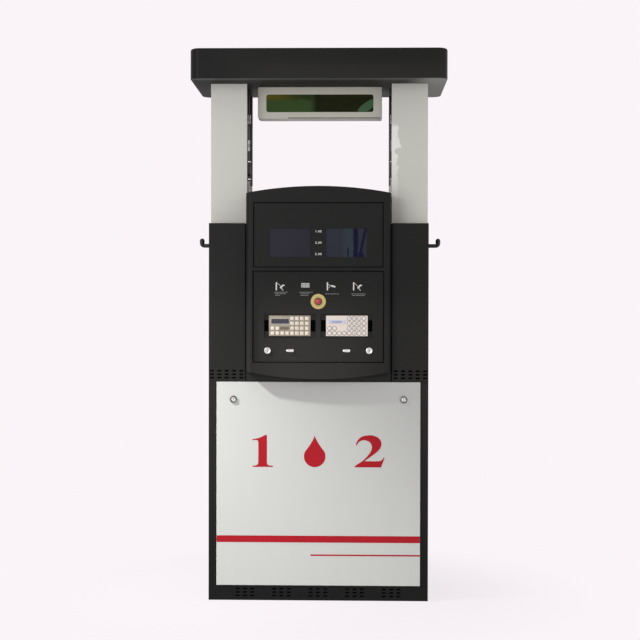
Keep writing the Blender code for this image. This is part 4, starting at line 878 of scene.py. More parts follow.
def sign_pane_and_reflections(tree, vector, colour, roughness):
    """What shows through the green pane: a grey-green left half under a painted warm glint, a dark
    olive middle, and a painted paler reflection at the right end, inside across ** 2 + height ** 2 = 1."""
    x, _, z = xyz(tree, vector)
    wobble = calc(tree, "MULTIPLY_ADD", noise(tree, vector, 30.0, 3.0), 0.03, -0.015)
    wavy = calc(tree, "ADD", z, wobble)
    left = fall(tree, x, -0.045, -0.010)
    colour = tint(tree, left, colour, (60, 84, 42))
    # Painted glint along the top of the left half.
    painted_glint = product(tree, ramp(tree, wavy, 2.020, 2.038), fall(tree, x, -0.215, -0.06))
    colour = tint(tree, painted_glint, colour, (150, 136, 36))
    top = product(tree, left, ramp(tree, wavy, 2.018, 2.034), 0.6)
    colour = tint(tree, top, colour, (40, 42, 12))
    brown = product(tree, ramp(tree, x, -0.01, 0.01), ramp(tree, z, 2.03, 2.045), 0.6)
    colour = tint(tree, brown, colour, (46, 50, 8))
    # Painted reflection: a paler round shape at the right end.
    middle, half, lean, rise = 0.196, 0.042, 0.55, 0.021
    across = calc(tree, "MULTIPLY_ADD", x, 1 / half, -middle / half)
    tilt = calc(tree, "MULTIPLY_ADD", x, -lean, lean * middle - 2.000)
    height = product(tree, calc(tree, "ADD", z, tilt), 1 / rise)
    reach = calc(tree, "ADD", product(tree, across, across), product(tree, height, height))
    spot = fall(tree, calc(tree, "MULTIPLY_ADD", wobble, 30.0, reach), 0.75, 1.05)
    return tint(tree, spot, colour, (74, 108, 74)), roughness


sign_glass = finish(
    "green sign pane", (27, 33, 1), 0.16, specular=0.08, cloud=(40.0, 0.25), rough_swing=0.04,
    extra=sign_pane_and_reflections,
)
circuit = finish(
    "circuit board", (26, 74, 46), 0.45, cloud=(120.0, 0.25), specular=0.45,
    skin=(2200.0, 500.0, 0.0001),
)


def painted_back(tree, vector, colour, roughness):
    """The sign's board closes its case, and the sheet on its back is painted like the case."""
    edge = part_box("sign_board")[1][1] - 0.0004
    behind = calc(tree, "GREATER_THAN", xyz(tree, vector)[1], edge)
    return tint(tree, behind, colour, (188, 186, 176)), roughness


sign_backing = finish(
    "sign board", (26, 74, 46), 0.45, cloud=(120.0, 0.12), specular=0.4, skin=(1800.0, 300.0, 0.00006),
    extra=painted_back,
)
keypad_metal = finish(
    "keypad metal", (158, 150, 133), 0.36, metal=0.55, lines=((8.0, 8.0, 900.0), 0.00002, 0.18),
    cloud=(40.0, 0.06), rub=((240, 232, 214), 0.5),
)
keypad_film = finish(
    "keypad film", (250, 237, 225), 0.36, specular=0.4, cloud=(30.0, 0.03), skin=(2600.0, 400.0, 0.00003),
)
key_metal = finish("key metal", (238, 226, 211), 0.34, metal=0.25, cloud=(180.0, 0.10), rough_swing=0.08)
key_white = finish("key white", (252, 248, 244), 0.38, specular=0.4, cloud=(160.0, 0.04))
key_ring = finish("key ring", (124, 104, 98), 0.42, specular=0.4, cloud=(160.0, 0.06))
painted_seam_shade = finish("seam shade", (66, 69, 62), 0.6, specular=0.2, cloud=(60.0, 0.2))
ink_dark = finish("dark ink", (48, 46, 50), 0.5, specular=0.3, cloud=(200.0, 0.05))
ink_grey = finish("grey ink", (150, 150, 148), 0.5, specular=0.3, cloud=(200.0, 0.05))
ink_white = finish("white ink", (236, 236, 232), 0.45, specular=0.3, cloud=(200.0, 0.04))
screen_dark = finish("small screen", (60, 60, 76), 0.12, specular=0.5, cloud=(90.0, 0.25))
screen_blue = finish("small blue screen", (222, 224, 242), 0.16, specular=0.5, cloud=(90.0, 0.10))
stop_yellow = finish(
    "stop plate yellow", (224, 203, 134), 0.42, specular=0.35, cloud=(90.0, 0.05),
    rub=((224, 210, 150), 0.5),
)
stop_ring = finish("stop plate ring", (168, 146, 86), 0.5, specular=0.3, cloud=(90.0, 0.05))
screen_ink = finish("blue ink", (96, 104, 156), 0.4, specular=0.3, cloud=(90.0, 0.05))
frame_pale = finish("screen frame", (226, 222, 214), 0.4, specular=0.35, cloud=(90.0, 0.04))
label_dark = finish("key label", (118, 110, 94), 0.5, specular=0.3, cloud=(90.0, 0.05))
stop_red = finish("stop red", (196, 34, 62), 0.24, specular=0.5, coat=0.4, cloud=(120.0, 0.05))
hose_grey = finish(
    "grey hose", (98, 100, 98), 0.40, specular=0.4, lines=((240.0, 240.0, 30.0), 0.00006, 0.06),
    cloud=(40.0, 0.06),
)
hose_pale = finish(
    "pale hose", (240, 240, 231), 0.44, specular=0.4, lines=((240.0, 240.0, 30.0), 0.00006, 0.06),
    cloud=(40.0, 0.06), dust=0.2,
)
casting = finish(
    "grey casting", (128, 130, 130), 0.52, metal=0.35, skin=(420.0, 120.0, 0.00025),
    cloud=(14.0, 0.10), rub=((170, 172, 172), 0.6), dust=0.35,
)
brass = finish("brass", (188, 152, 84), 0.30, metal=1.0, cloud=(80.0, 0.12), rough_swing=0.1, dust=0.2)
lever_yellow = finish("lever yellow", (214, 170, 44), 0.40, skin=(900.0, 200.0, 0.0001), cloud=(40.0, 0.06))

# ---------------------------------------------------------------- cabinet

# The sheets: their finish, the width and segments of their eased edges, and their solids.
EASED_SHEETS = (
    (black, 0.0007, 2, ("base_plinth", "cabinet_side_left", "cabinet_side_right", "mid_deck")),
    (black, 0.0007, 2, ("wing_left", "wing_right")),
    (black, 0.0008, 2, ("head_shell", "head_apron", "rear_service_door", "display_panel")),
    (door_black, 0.0008, 2, ("keypad_door",)),
    (black, 0.0006, 2, ("bezel",)),
    (soffit_black, 0.0007, 2, ("canopy_soffit",)),
    (steel, 0.0012, 2, ("canopy_frame",)),
    (panel_white, 0.0014, 3, ("front_lower_panel", "rear_lower_panel")),
    (column_grey, 0.0012, 3, ("column_left", "column_right")),
    (steel, 0.0005, 2, ("hook_bracket_left", "hook_bracket_right")),
)
for material, width, segments, names in EASED_SHEETS:
    for node in names:
        folded(node, width, material, segments)


def vent_screens():
    """Fine black mesh close behind the slots of the plinth and the wings, front and back."""
    gap, thick = 0.014, 0.0008
    wing_slots = (0.004, 0.883, 0.962)
    for node, (margin, low_z, high_z) in (
        ("base_plinth", (0.012, 0.006, 0.054)), ("wing_left", wing_slots), ("wing_right", wing_slots),
    ):
        low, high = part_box(node)
        shape = box_shape(low[0] + margin, high[0] - margin, low_z, high_z, 0.001, 2)
        sheets = [
            slab("screen", shape, face + way * gap, face + way * (gap + thick), 0.0002, steps=1)
            for face, way in ((low[1], 1), (high[1], -1))
        ]
        register(joined(node + "_screens", sheets), node, screen_mesh)


def edge_seals():
    """A rubber bead in the narrow gap between the head and each wing, front and back: a round section
    carried up a straight line."""
    head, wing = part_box("head_shell"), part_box("wing_right")
    x = (head[1][0] + wing[0][0]) / 2
    radius = (wing[0][0] - head[1][0]) / 2 - 0.0003
    level = np.linspace(wing[0][2] + 0.004, wing[1][2] - 0.003, 24)
    for side, sign in SIDES:
        beads = []
        for y in (wing[0][1] + 0.006, wing[1][1] - 0.006):
            path = np.stack([np.full_like(level, sign * x), np.full_like(level, y), level], axis=1)
            beads.append(swept("bead", path, radius, 10))
        register(joined(f"edge_seal_{side}", beads), "head_shell", rubber_black)


def pocket_shade_sheets():
    """Near-black sheets on the open floor of each keypad pocket, either side of its pad: painted shade."""
    depth, reach, half = 0.009, 0.0185, 0.0222
    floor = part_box("keypad_door")[0][1] + depth
    pads = []
    for side, _ in SIDES:
        low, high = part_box(f"keypad_fascia_{side}")
        z = (low[2] + high[2]) / 2
        for x0, x1 in ((low[0] - reach, low[0]), (high[0], high[0] + reach)):
            shape = box_shape(x0 + 0.0006, x1 - 0.0006, z - half, z + half, 0.0006, 2)
            pads.append(slab("pad", shape, floor - 0.0007, floor - 0.0001, 0.0002, steps=1))
    register(joined("pocket_shade_sheets", pads), "keypad_door", pocket_shade_black)


def cable_ducts():
    """A slim cable duct down the back corner of each column, and the pale tube that runs up into it."""
    duct_foot, tube_radius, overlap = 1.685, 0.0095, 0.010
    tube_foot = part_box("wing_right")[1][2] + 0.003
    for side, sign in SIDES:
        low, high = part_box(f"column_{side}")
        edge = low[0] if sign > 0 else high[0]
        x0, x1 = sorted((edge - sign * 0.0060, edge + sign * 0.016))
        shape = box_shape(x0, x1, high[1] - 0.034, high[1] - 0.0030, 0.0015, 3)
        duct = slab(f"cable_duct_{side}", shape, high[2] - 0.004, duct_foot, 0.0006, "Z", steps=2)
        register(duct, f"column_{side}", duct_grey)
        line = rod_line(tube_radius, tube_foot, duct_foot + overlap)
        centre = ((x0 + x1) / 2 - sign * 0.0012, high[1] - 0.0185, 0)
        tube = turned(f"duct_tube_{side}", line, centre, "Z", 24)
        register(tube, f"riser_tube_{side}", hose_pale)


vent_screens()
edge_seals()
pocket_shade_sheets()
cable_ducts()

# ---------------------------------------------------------------- canopy and sign


def canopy_lid():
    """The lid: an outline with round corners, carried up its side, over a rounded top edge and closed.
    Up the side the inset is 0; round the edge it is edge * (1 - cos t) and the rise edge * sin t."""
    low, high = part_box("canopy_shell")
    edge, wall = 0.0085, 0.0022
    shape = box_shape(low[0], high[0], low[1], high[1], 0.038, 12)
    levels = [(wall, high[2] - 0.0025), (wall, low[2] + 0.0030)]
    lip = [(wall, 0.0016), (0.0020, 0.0004), (0.0014, 0.0), (0.0007, 0.0002), (0.0, 0.0010)]
    levels += [(inset, low[2] + rise) for inset, rise in lip]
    levels += [(0.0, low[2] + share * (high[2] - low[2] - edge)) for share in (0.2, 0.5, 0.8)]
    turn = np.linspace(0, math.pi / 2, 9)
    levels += [(edge * (1 - math.cos(t)), high[2] - edge * (1 - math.sin(t))) for t in turn]
    lid = loft("canopy_lid", [lay(shape(inset), level, "Z") for inset, level in levels])
    register(lid, "canopy_shell", canopy_black, True)


def sign_case():
    """The sign case: outline with round lower corners, front ring round its window, closed behind.
    Round both outer edges the inset is edge * (1 - sin t) at a depth of edge * (1 - cos t)."""
    low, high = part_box("sign_box")
    rim, edge, wall = 0.008, 0.0022, 0.0020
    outer = node_shape("sign_box", 0, (0.003, 0.003, 0.011, 0.004), 8)
    hole = node_shape("sign_window", rim, 0.009, 8)
    lip = ((0, wall), (0, 0.0006), (-0.0003, 0.0001), (-0.0008, 0.0))
    turn = np.linspace(0, math.pi / 2, 6)
    rings = [lay(hole(inset), low[1] + depth) for inset, depth in lip]
    rings += [eased_ring(outer, low[1], 1, edge, t) for t in turn]
    rings += [eased_ring(outer, high[1], -1, edge, t) for t in turn[::-1]]
    rings += [lay(outer(wall + edge), depth) for depth in (high[1] - wall, low[1] + wall)]
    register(loft("sign_case", rings, wrap=True), "sign_box", sign_grey, True)
    # Painted shade: a dark strip along the case's lower front edge.
    seam = bar(low[0] + 0.125, high[0] - 0.006, low[2] + 0.0022, low[2] + 0.0054)
    register(plates("sign_seam_shade", [seam], low[1], 0.00012), "sign_box", painted_seam_shade)
    shape = node_shape("sign_window", rim + 0.0005, 0.0086)
    pane = slab("sign_pane", shape, low[1] + 0.0008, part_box("sign_window")[1][1], 0.0006)
    register(pane, "sign_window", sign_glass, True)


canopy_lid()
sign_case()
NODES["sign_board"].data.materials.clear()
NODES["sign_board"].data.materials.append(sign_backing)

# ---------------------------------------------------------------- displays


def lenses():
    """The part of each lens that shows in its window, less a narrow gap round it."""
    lip, gap = 0.006, 0.0004
    for side, material in (("left", lens_dark), ("right", lens_slate)):
        node = f"display_lens_{side}"
        low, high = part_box(node)
        shape = node_shape(node, lip + gap, 0.0016)
        register(slab(f"display_pane_{side}", shape, low[1], high[1], 0.0005), node, material, True)


lenses()
folded("display_board", 0.0003, circuit)

# ---------------------------------------------------------------- keypads

PITCH, KEY = 0.0195, 0.0135  # distance between keys, and the width of one


def key_grid(side):
    """Centres (x, z) of a keypad's keys by column and row, and the corner where its screen hangs."""
    low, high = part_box(f"keypad_fascia_{side}")
    x0 = low[0] + (high[0] - low[0] - 7 * PITCH) / 2
    z0 = low[2] + (high[2] - low[2] - 3 * PITCH) / 2
    block = [(c, r) for c in range(4, 8) for r in range(4)]
    places = block + [(c, 0) for c in range(4)] + [(0, 1), (1, 1)]
    return {(c, r): (x0 + PITCH * c, z0 + PITCH * r) for c, r in places}, (x0, z0 + 3 * PITCH)


def key_shape(side, x, z):
    """shape(inset) of one key: round on the right keypad, square on the left."""
    half = KEY / 2
    if side == "right":
        return disc_shape(x, z, half, 24)
    return box_shape(x - half, x + half, z - half, z + half, 0.0016, 3)


def key_caps(side, keys, material):
    """One flexible mat with a crowned cap for each key, and its figures 1 to 9 and 0."""
    node = f"key_mat_{side}"
    low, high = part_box(node)
    mat_front = high[1] - 0.0012
    parts = [slab("mat", node_shape(node, 0, 0.001, 2), mat_front, high[1], 0.0001, steps=1)]
    face, back = low[1] + 0.0004, mat_front + 0.0003
    for x, z in keys.values():
        shape = key_shape(side, x, z)
        parts.append(slab("cap", shape, face, back, 0.0007, crown=0.0004, steps=2, back_edge=0))
    register(joined(f"key_caps_{side}", parts), node, material, True)
    spots = [(c, r) for r in (3, 2, 1) for c in (4, 5, 6)] + [(5, 0)]
    marks = [(text, *keys[spot]) for text, spot in zip("1234567890", spots)]
    register(digits(f"key_figures_{side}", marks, 0.0052, low[1] - 0.00006), node, ink_dark)


def key_screen(side, corner, node, plate_finish, screen_finish):
    """A thin cover plate on the keypad's face, and a pane on it. Gives the pane's x, z and front."""
    face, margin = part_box(node)[0][1], 0.0026
    x0, x1 = corner[0] - 0.0050, corner[0] + 0.0655
    z0 = corner[1] - 0.0215
    z1 = corner[1] - (0.0015 if side == "left" else 0.0055)
    shape = box_shape(x0 - margin, x1 + margin, z0 - margin, corner[1] + 0.0088, 0.0012, 3)
    cover = slab(f"screen_cover_{side}", shape, face - 0.0004, face + 0.0003, 0.0003, steps=2)
    register(cover, node, plate_finish)
    front = face - 0.0004
    shape = box_shape(x0, x1, z0, z1, 0.0008, 3)
    pane = slab(f"keypad_screen_{side}", shape, front - 0.0004, front + 0.0002, 0.0002, steps=2)
    register(pane, node, screen_finish)
    return x0, x1, z0, z1, front


def left_keypad():
    """Square metal keys, a dark screen in a pale rim, and a dark label beside the small keys."""
    node = "keypad_fascia_left"
    keys, corner = key_grid("left")
    folded(node, 0.0004, keypad_metal)
    key_caps("left", keys, key_metal)
    x0, x1, z0, z1, front = key_screen("left", corner, node, keypad_metal, screen_dark)
    inner, outer = (
        box_shape(x0 - grow, x1 + grow, z0 - grow, z1 + grow, 0.001, 2)(0) for grow in (0.0002, 0.0016)
    )
    register(band("screen_rim_left", inner, outer, front - 0.0005, front + 0.0001), node, frame_pale)
    x, z = keys[(1, 1)]
    label = bar(x + PITCH * 0.55, x + PITCH * 2.35, z - 0.0062, z + 0.0062)
    register(plates("key_label_left", [label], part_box(node)[0][1], 0.0001), node, label_dark)


def right_keypad():
    """Round pale keys in printed rings, and a blue screen with plain strokes."""
    node = "keypad_fascia_right"
    keys, corner = key_grid("right")
    folded(node, 0.0004, keypad_film)
    key_caps("right", keys, key_white)
    x0, x1, z0, _, front = key_screen("right", corner, node, keypad_film, screen_blue)
    starts = [x0 + 0.016 + 0.008 * k for k in range(5)]
    strokes = [bar(start, start + 0.005, z0 + 0.007, z0 + 0.0105) for start in starts]
    strokes.append(bar(x0 + 0.012, x1 - 0.016, z0 + 0.0040, z0 + 0.0052))
    register(plates("screen_figures_right", strokes, front - 0.0004, 0.00008), node, screen_ink)
    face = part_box(node)[0][1]
    rings = []
    for x, z in keys.values():
        inner, outer = (round_outline(x, z, KEY / 2 + grow, 24) for grow in (0.0006, 0.0022))
        rings.append(band("ring", inner, outer, face - 0.00012, face - 0.00001))
    register(joined("key_rings_right", rings), node, key_ring)


left_keypad()
right_keypad()

# ---------------------------------------------------------------- stop button, locks, latches


def stop_button():
    """A round legend plate with two printed rings, and a domed head on its stem. From its tip to its
    widest point the dome is (radius * sin a, rise * (1 - cos a))."""
    low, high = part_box("estop_plate")
    x, z = (low[0] + high[0]) / 2, (low[2] + high[2]) / 2
    radius = (high[0] - low[0]) / 2
    face, groove = low[1], low[1] + 0.0003
    profile = [
        (0.0156, high[1]), (0.0156, face), (0.0205, face), (0.0208, groove), (0.0216, groove),
        (0.0219, face), (radius - 0.0030, face), (radius - 0.0027, groove), (radius - 0.0020, groove),
        (radius - 0.0017, face), (radius, face + 0.0002), (radius, high[1]),
    ]
    plate = turned("stop_plate", profile, (x, 0, z), "Y", 64, ease=0, wrap=True)
    register(plate, "estop_plate", stop_yellow, True)
    rings = []
    for radii in ((0.0196, 0.0206), (radius - 0.0034, radius - 0.0027)):
        inner, outer = (round_outline(x, z, r, 64) for r in radii)
        rings.append(band("ring", inner, outer, face - 0.00012, face + 0.0002))
    register(joined("stop_plate_rings", rings), "estop_plate", stop_ring)
    folded("estop_collar", 0.0004, collar_bronze)

    low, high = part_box("estop_head")
    radius = (high[0] - low[0]) / 2 * 0.93
    rise = (high[1] - low[1]) * 0.72
    turn = np.linspace(0, math.pi / 2, 9)
    dome = [(radius * math.sin(a), low[1] + rise * (1 - math.cos(a))) for a in turn]
    dome += [(radius, high[1] - 0.0008), (radius - 0.0008, high[1]), (0, high[1])]
    register(turned("stop_head_cap", dome, (x, 0, z), "Y", 48, ease=0), "estop_head", stop_red, True)
    low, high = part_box("estop_plunger")
    line = rod_line(0.0078, low[1], high[1])
    register(turned("stop_stem", line, (x, 0, z), "Y", 32), "estop_plunger", steel, True)


def lock_axis(node):
    """The turning axis of a lock: the middle of its head, not of its box, which its cam widens."""
    mesh = NODES[node].data
    points = np.empty(len(mesh.vertices) * 3, np.float32)
    mesh.vertices.foreach_get("co", points)
    points = points.reshape(-1, 3)
    top = points[np.abs(points[:, 2] - points[:, 2].max()) < 1e-5]
    return float((top[:, 0].min() + top[:, 0].max()) / 2)


def lock(node, facing, radius, shaft):
    """A cam lock: dished head with a plug and a slot, a shaft through the sheet, and its cam."""
    low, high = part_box(node)
    x, z = lock_axis(node), (low[2] + high[2]) / 2
    name = node + "_head"
    way = -facing
    out, inside = (low[1], high[1]) if facing < 0 else (high[1], low[1])
    seat = out + way * 0.005
    plug = radius * 0.56
    profile = [
        (0, out + way * 0.0012), (plug, out + way * 0.0012), (plug + 0.0006, out + way * 0.0006),
        (radius * 0.80, out), (radius * 0.92, out + way * 0.0007), (radius, out + way * 0.0022),
        (radius, seat), (shaft, seat), (shaft, inside), (0, inside),
    ]
    body = turned(name + "_barrel", profile, (x, 0, z), "Y", 48, ease=0.0003)
    cam_x = sorted((x, low[0] if abs(low[0] - x) > abs(high[0] - x) else high[0]))
    cam_y = sorted((inside, inside - way * 0.003))
    shape = box_shape(cam_x[0] - 0.004, cam_x[1], z - shaft * 0.68, z + shaft * 0.68, 0.003, 4)
    cam = slab(name + "_cam", shape, cam_y[0] + 0.0001, cam_y[1] - 0.0001, 0.0004, steps=2)
    barrel_finish, plug_finish = (chrome, chrome) if "door" in node else (chrome_dull, bright_steel)
    register(joined(name, [body, cam]), node, barrel_finish, True)
    shape = disc_shape(x, z, plug - 0.0004, 32)
    core = slab(name + "_plug", shape, out + way * 0.0008, out + way * 0.0016, 0.0003, steps=2)
    register(core, node, plug_finish)
    shape = box_shape(x - 0.0010, x + 0.0010, z - plug * 0.62, z + plug * 0.62, 0.0009, 4)
    slot = slab(name + "_keyway", shape, out + way * 0.0006, out + way * 0.0014, 0.0001, steps=1)
    register(slot, node, slot_dark)


def latches():
    """Each turn latch: a crowned pill narrower at its left end, its stem, and its cam behind."""
    half, reach = 0.0155, 0.018
    for side, sign in SIDES:
        node = f"door_latch_{side}"
        low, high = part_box(node)
        x, z = sign * 0.112, (low[2] + high[2]) / 2
        seat = low[1] + 0.009
        straight = box_shape(x - half, x + half, low[2] + 0.0006, high[2] - 0.0006, 0.0062, 10)

        def tapered(inset):
            """The rounded outline, its height times 0.7 + 0.3 * sqrt(s), s growing from its left end."""
            outline = straight(inset)
            share = np.clip((outline[:, 0] - x + half) / (2 * half), 0, 1)
            outline[:, 1] = z + (outline[:, 1] - z) * (0.70 + 0.30 * np.sqrt(share))
            return outline

        pill = slab("pill", tapered, low[1] + 0.0012, seat, 0.0022, crown=0.0012, back_edge=0.0004)
        stem = turned("stem", rod_line(0.005, seat - 0.001, high[1]), (x, 0, z), "Y", 24)
        cam_x = sorted((x, x + sign * reach))
        shape = box_shape(*cam_x, z - 0.004, z + 0.004, 0.002, 3)
        cam = slab("cam", shape, high[1] - 0.004, high[1] - 0.0001, 0.0004, steps=2)
        register(joined(f"latch_pill_{side}", [pill, stem, cam]), node, bright_steel, True)


stop_button()
for side, _ in SIDES:
    lock(f"door_lock_{side}", -1, 0.0135, 0.008)
for face, facing in (("front", -1), ("rear", 1)):
    for side, _ in SIDES:
        lock(f"{face}_panel_lock_{side}", facing, 0.0145, 0.0095)
lock("rear_service_lock", 1, 0.0145, 0.0095)
latches()

# ---------------------------------------------------------------- rods, hooks and hose lines


def rods():
    """Plain round rods in place of the faceted ones."""
    for node in ("display_hinge_rod", "door_hinge_rod"):
        low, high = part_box(node)
        centre = (0, (low[1] + high[1]) / 2, (low[2] + high[2]) / 2)
        line = rod_line((high[2] - low[2]) / 2, low[0], high[0])
        register(turned(node + "_pin", line, centre, "X", 24), node, rod_steel, True)


def hooks():
    """Each hook: a straight bar whose end turns up through a quarter circle into a round tip. The bend
    goes on by bend * sin a and up by bend * (1 - cos a)."""
    bar_radius, bend = 0.008, 0.010
    for side, sign in SIDES:
        node = f"nozzle_hook_{side}"
        low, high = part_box(node)
        z = low[2] + bar_radius
        start, end = (low[0], high[0]) if sign > 0 else (high[0], low[0])
        tip = end - sign * 0.010
        path = [(x, 0, z) for x in np.linspace(start, tip - sign * bend, 8)]
        for a in np.linspace(0, math.pi / 2, 9)[1:]:
            path.append((tip - sign * bend * (1 - math.sin(a)), 0, z + bend * (1 - math.cos(a))))
        path += [(tip, 0, level) for level in np.linspace(z + bend, high[2], 9)[1:]]
        radii = [bar_radius] * 8 + np.linspace(bar_radius, 0.0098, 8).tolist()
        radii += [0.0099] * 4 + [0.0096, 0.0088, 0.0070, 0.0035]
        register(swept(f"hook_bar_{side}", path, radii, 28), node, hook_black, True)


def coupling(side, x, y):
    """A breakaway coupling: grooved foot, two body rings with a groove between, and a plain neck."""
    node = f"breakaway_{side}"
    low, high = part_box(node)
    body, neck, groove = 0.013, 0.011, 0.0012
    base, tall = low[2], high[2] - low[2]
    shares = [(0, 0), (neck, 0), (neck, 0.20)]
    for k in range(4):
        shares += [(neck - groove, 0.21 + 0.018 * k), (neck, 0.22 + 0.018 * k)]
    shares += [
        (body, 0.32), (body, 0.48), (body - groove, 0.49), (body - groove, 0.53), (body, 0.54),
        (body, 0.70), (neck, 0.76), (neck, 1), (0, 1),
    ]
    profile = [(radius, base + tall * share) for radius, share in shares]
    shape = turned(f"coupling_{side}", profile, (x, y, 0), "Z", 36)
    register(shape, node, coupling_dark, True)
    for part, level in (("lower", base + 0.004), ("upper", high[2] - 0.008)):
        line = rod_line(body - 0.0004, level, level + 0.004)
        ring = turned(f"coupling_{part}_ring_{side}", line, (x, y, 0), "Z", 36)
        register(ring, node, bright_steel)


def collar_foot(node, radius):
    """Lowest level at which a hose line is wider than the hose itself."""
    points = np.array([vert.co for vert in NODES[node].data.vertices])
    middle = (points[:, 0].min() + points[:, 0].max()) / 2
    return float(points[np.abs(points[:, 0] - middle) > radius * 1.3][:, 2].min())


def upper_line(side, x, y):
    """The hose above the coupling with its collar under the canopy, and two grooved nuts on it."""
    node = f"upper_line_{side}"
    low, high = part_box(node)
    radius, wide, step = 0.007, (high[0] - low[0]) / 2, collar_foot(node, 0.007)
    profile = rod_line(radius, low[2], step)[:3] + rod_line(wide, step, high[2])[1:]
    hose = turned(f"upper_hose_{side}", profile, (x, y, 0), "Z", 32)
    register(hose, node, hose_grey, True)
    for name, level, tall, girth in (("ferrule", 1.826, 0.045, 0.0088), ("union", 1.940, 0.036, 0.0112)):
        waist = girth - 0.0016
        shares = [(0, 0), (girth, 0), (girth, 0.4), (waist, 0.46), (waist, 0.56), (girth, 0.62)]
        shares += [(girth, 1), (0, 1)]
        nut = [(radius, level + tall * share) for radius, share in shares]
        register(turned(f"{name}_{side}", nut, (x, y, 0), "Z", 24), node, steel)


def hose_lines():
    """In each column: a pale riser, a breakaway coupling and the upper line."""
    for side, _ in SIDES:
        node = f"riser_tube_{side}"
        low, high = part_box(node)
        x, y = (low[0] + high[0]) / 2, (low[1] + high[1]) / 2
        line = rod_line((high[0] - low[0]) / 2, low[2], high[2])
        register(turned(f"riser_{side}", line, (x, y, 0), "Z", 32), node, hose_pale, True)
        coupling(side, x, y)
        upper_line(side, x, y)


rods()
hooks()
hose_lines()

# ---------------------------------------------------------------- works inside the cabinet

for node in ("separator_vessel", "flow_meter_left", "flow_meter_right", "junction_box"):
    folded(node, 0.0015, casting, 3)
folded("inlet_valve", 0.001, brass)
folded("inlet_valve_lever", 0.0008, lever_yellow)

# ---------------------------------------------------------------- printed marks


def drop_outline(x, z0, z1, half):
    """A drop: below, an arc p = centre + half * (cos t, sin t); above it, x closes on the middle as
    (1 - s) ** 1.35 while z climbs evenly to the tip."""
    t = np.linspace(-math.pi * 1.15, math.pi * 0.15, 40)
    centre = z0 + half
    ball = np.stack([x + half * np.cos(t), centre + half * np.sin(t)], axis=1)
    right = ball[-1]
    s = np.linspace(0, 1, 14)[1:]
    curve = np.stack([x + (right[0] - x) * (1 - s) ** 1.35, right[1] + (z1 - right[1]) * s], axis=1)
    mirror = np.stack([2 * x - curve[::-1, 0], curve[::-1, 1]], axis=1)[1:]
    return np.concatenate([ball, curve, mirror])


def smooth_through(points, steps=6):
    """Catmull-Rom curve: between p1 and p2 the point is
    0.5 * (2 p1 + (p2 - p0) t + (2 p0 - 5 p1 + 4 p2 - p3) t^2 + (3 p1 - p0 - 3 p2 + p3) t^3)."""
    p = np.array([points[0], *points, points[-1]], float)
    t = np.linspace(0, 1, steps, endpoint=False)[:, None]
    out = []
    for p0, p1, p2, p3 in zip(p, p[1:], p[2:], p[3:]):
        square, cube = 2 * p0 - 5 * p1 + 4 * p2 - p3, 3 * p1 - p0 - 3 * p2 + p3
        out.append(0.5 * (2 * p1 + (p2 - p0) * t + square * t**2 + cube * t**3))
    return np.concatenate([*out, p[-1:]])


# Figures with feet, one unit high, as runs of points: a run named "curve" is smoothed, "line" is not.
FIGURE_ONE = (
    ("line", ((-0.30, 0.0), (0.34, 0.0), (0.34, 0.035))),
    ("curve", ((0.24, 0.045), (0.175, 0.075), (0.155, 0.14))),
    ("line", ((0.155, 1.0), (0.10, 1.0))),
    ("curve", ((0.02, 0.955), (-0.12, 0.90), (-0.30, 0.865))),
    ("line", ((-0.30, 0.83),)),
    ("curve", ((-0.20, 0.845), (-0.13, 0.82), (-0.115, 0.76))),
    ("line", ((-0.115, 0.14),)),
    ("curve", ((-0.135, 0.075), (-0.20, 0.045), (-0.30, 0.035))),
)
FIGURE_TWO = (
    ("line", ((-0.46, 0.0), (0.36, 0.0), (0.47, 0.30), (0.435, 0.30))),
    ("curve", ((0.39, 0.235), (0.33, 0.20), (0.22, 0.19))),
    ("line", ((-0.16, 0.19),)),
    ("curve", (
        (0.02, 0.32), (0.22, 0.47), (0.34, 0.61), (0.37, 0.75), (0.30, 0.90), (0.14, 0.985),
        (-0.05, 1.0), (-0.25, 0.95), (-0.38, 0.83), (-0.43, 0.70),
    )),
    ("curve", (
        (-0.40, 0.69), (-0.33, 0.79), (-0.21, 0.845), (-0.09, 0.83), (0.02, 0.77), (0.07, 0.66),
        (0.05, 0.52), (-0.05, 0.37), (-0.22, 0.20), (-0.46, 0.04),
    )),
)


def figure(runs, x, z0, height):
    """The outline of one figure, standing at (x, z0)."""
    parts = [smooth_through(run) if kind == "curve" else np.array(run, float) for kind, run in runs]
    return np.concatenate(parts) * height + np.array((x, z0))


def panel_marks():
    """Two stripes, and a one, a drop and a two in red film."""
    low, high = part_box("front_lower_panel")
    end = high[0] - 0.0004
    foot, height = 0.535, 0.128
    shapes = [
        bar(-end, end, 0.233, 0.260), bar(-0.030, end, 0.1795, 0.1855),
        figure(FIGURE_ONE, -0.225, foot, height), figure(FIGURE_TWO, 0.205, foot, height),
        drop_outline(-0.014, foot, foot + height, 0.043),
    ]
    register(plates("panel_marks", shapes, low[1], 0.0002), "front_lower_panel", stripe_red)


def turned_bar(x, z, length, width, angle):
    """A rounded bar centred at (x, z), turned by an angle: p = centre + R(angle) * q."""
    shape = rounded(-length / 2, length / 2, -width / 2, width / 2, width * 0.4, 3)
    c, d = math.cos(angle), math.sin(angle)
    return np.stack([x + shape[:, 0] * c - shape[:, 1] * d, z + shape[:, 0] * d + shape[:, 1] * c], axis=1)


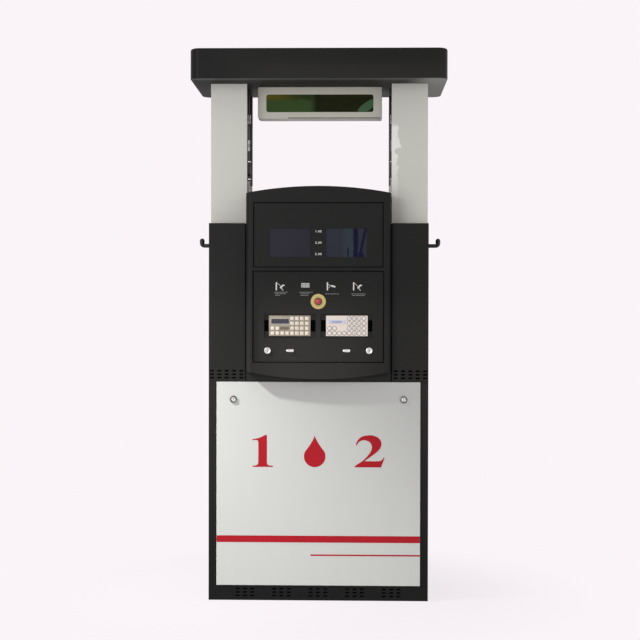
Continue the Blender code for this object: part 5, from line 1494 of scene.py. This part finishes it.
# The strokes of each small sign beside its upright post: (x, z, length, width, angle).
NOZZLE_IN_HAND = (
    (-0.004, 1.2635, 0.022, 0.0014, -0.72), (0.007, 1.2560, 0.019, 0.0060, 0.80),
    (0.009, 1.2450, 0.012, 0.0022, -0.95), (0.0165, 1.2610, 0.006, 0.0024, -0.80),
)
NOZZLE_IN_USE = (
    (-0.006, 1.2615, 0.016, 0.0018, -0.45), (0.007, 1.2575, 0.020, 0.0062, -0.28),
    (-0.008, 1.2530, 0.011, 0.0016, 0.75),
)
KEY_BLOCK = None  # this sign has no strokes, but a block of keys
# Each sign: its middle, its strokes, the level of its first line below, and the lines' widths.
SIGNS = (
    (-0.152, NOZZLE_IN_HAND, 1.2335, (0.056, 0.044, 0.020)),
    (-0.051, KEY_BLOCK, 1.2335, (0.054, 0.036, 0.032)),
    (0.051, NOZZLE_IN_USE, 1.2270, (0.056,)),
    (0.155, NOZZLE_IN_HAND, 1.2270, (0.058, 0.050)),
)


def sign_strokes(x, strokes):
    """A post and its strokes, or without strokes a block of keys, six by three."""
    if strokes:
        post = bar(x - 0.0172, x - 0.0126, 1.241, 1.2730)
        return [post] + [turned_bar(x + place, *rest) for place, *rest in strokes]
    corners = [(x - 0.0165 + 0.0056 * c, 1.2527 + 0.0062 * r) for c in range(6) for r in range(3)]
    return [bar(x0, x0 + 0.0041, z0, z0 + 0.0043) for x0, z0 in corners]


def word_bars(x, top, widths):
    """Plain bars in place of words: every row is cut into even pieces, and later rows stand in."""
    words = []
    for row, width in enumerate(widths):
        start, level = x - 0.024 + 0.004 * (row > 0), top - 0.0062 * row
        cuts = np.linspace(start, start + width, max(3, int(width / 0.009)))
        words += [bar(a, b - 0.0013, level - 0.0009, level + 0.0009) for a, b in zip(cuts, cuts[1:])]
    return words


def door_marks():
    """Four small signs for using the pump, with plain bars below, and figures between the displays."""
    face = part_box("keypad_door")[0][1]
    signs, words = [], []
    for x, strokes, top, widths in SIGNS:
        signs += sign_strokes(x, strokes)
        words += word_bars(x, top, widths)
    register(plates("use_signs", signs, face, 0.00015), "keypad_door", ink_white)
    register(plates("use_lines", words, face, 0.00012), "keypad_door", ink_grey)
    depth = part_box("display_panel")[0][1] - 0.0001
    rows = [("1.00", 0.0, 1.4745), ("2.00", 0.0, 1.4295), ("3.00", 0.0, 1.3845)]
    figures = digits("display_figures", rows, 0.0085, depth, spacing=1.3, bold=0.00025)
    register(figures, "display_panel", ink_white)


panel_marks()
door_marks()

# ---------------------------------------------------------------- close


apply_all()
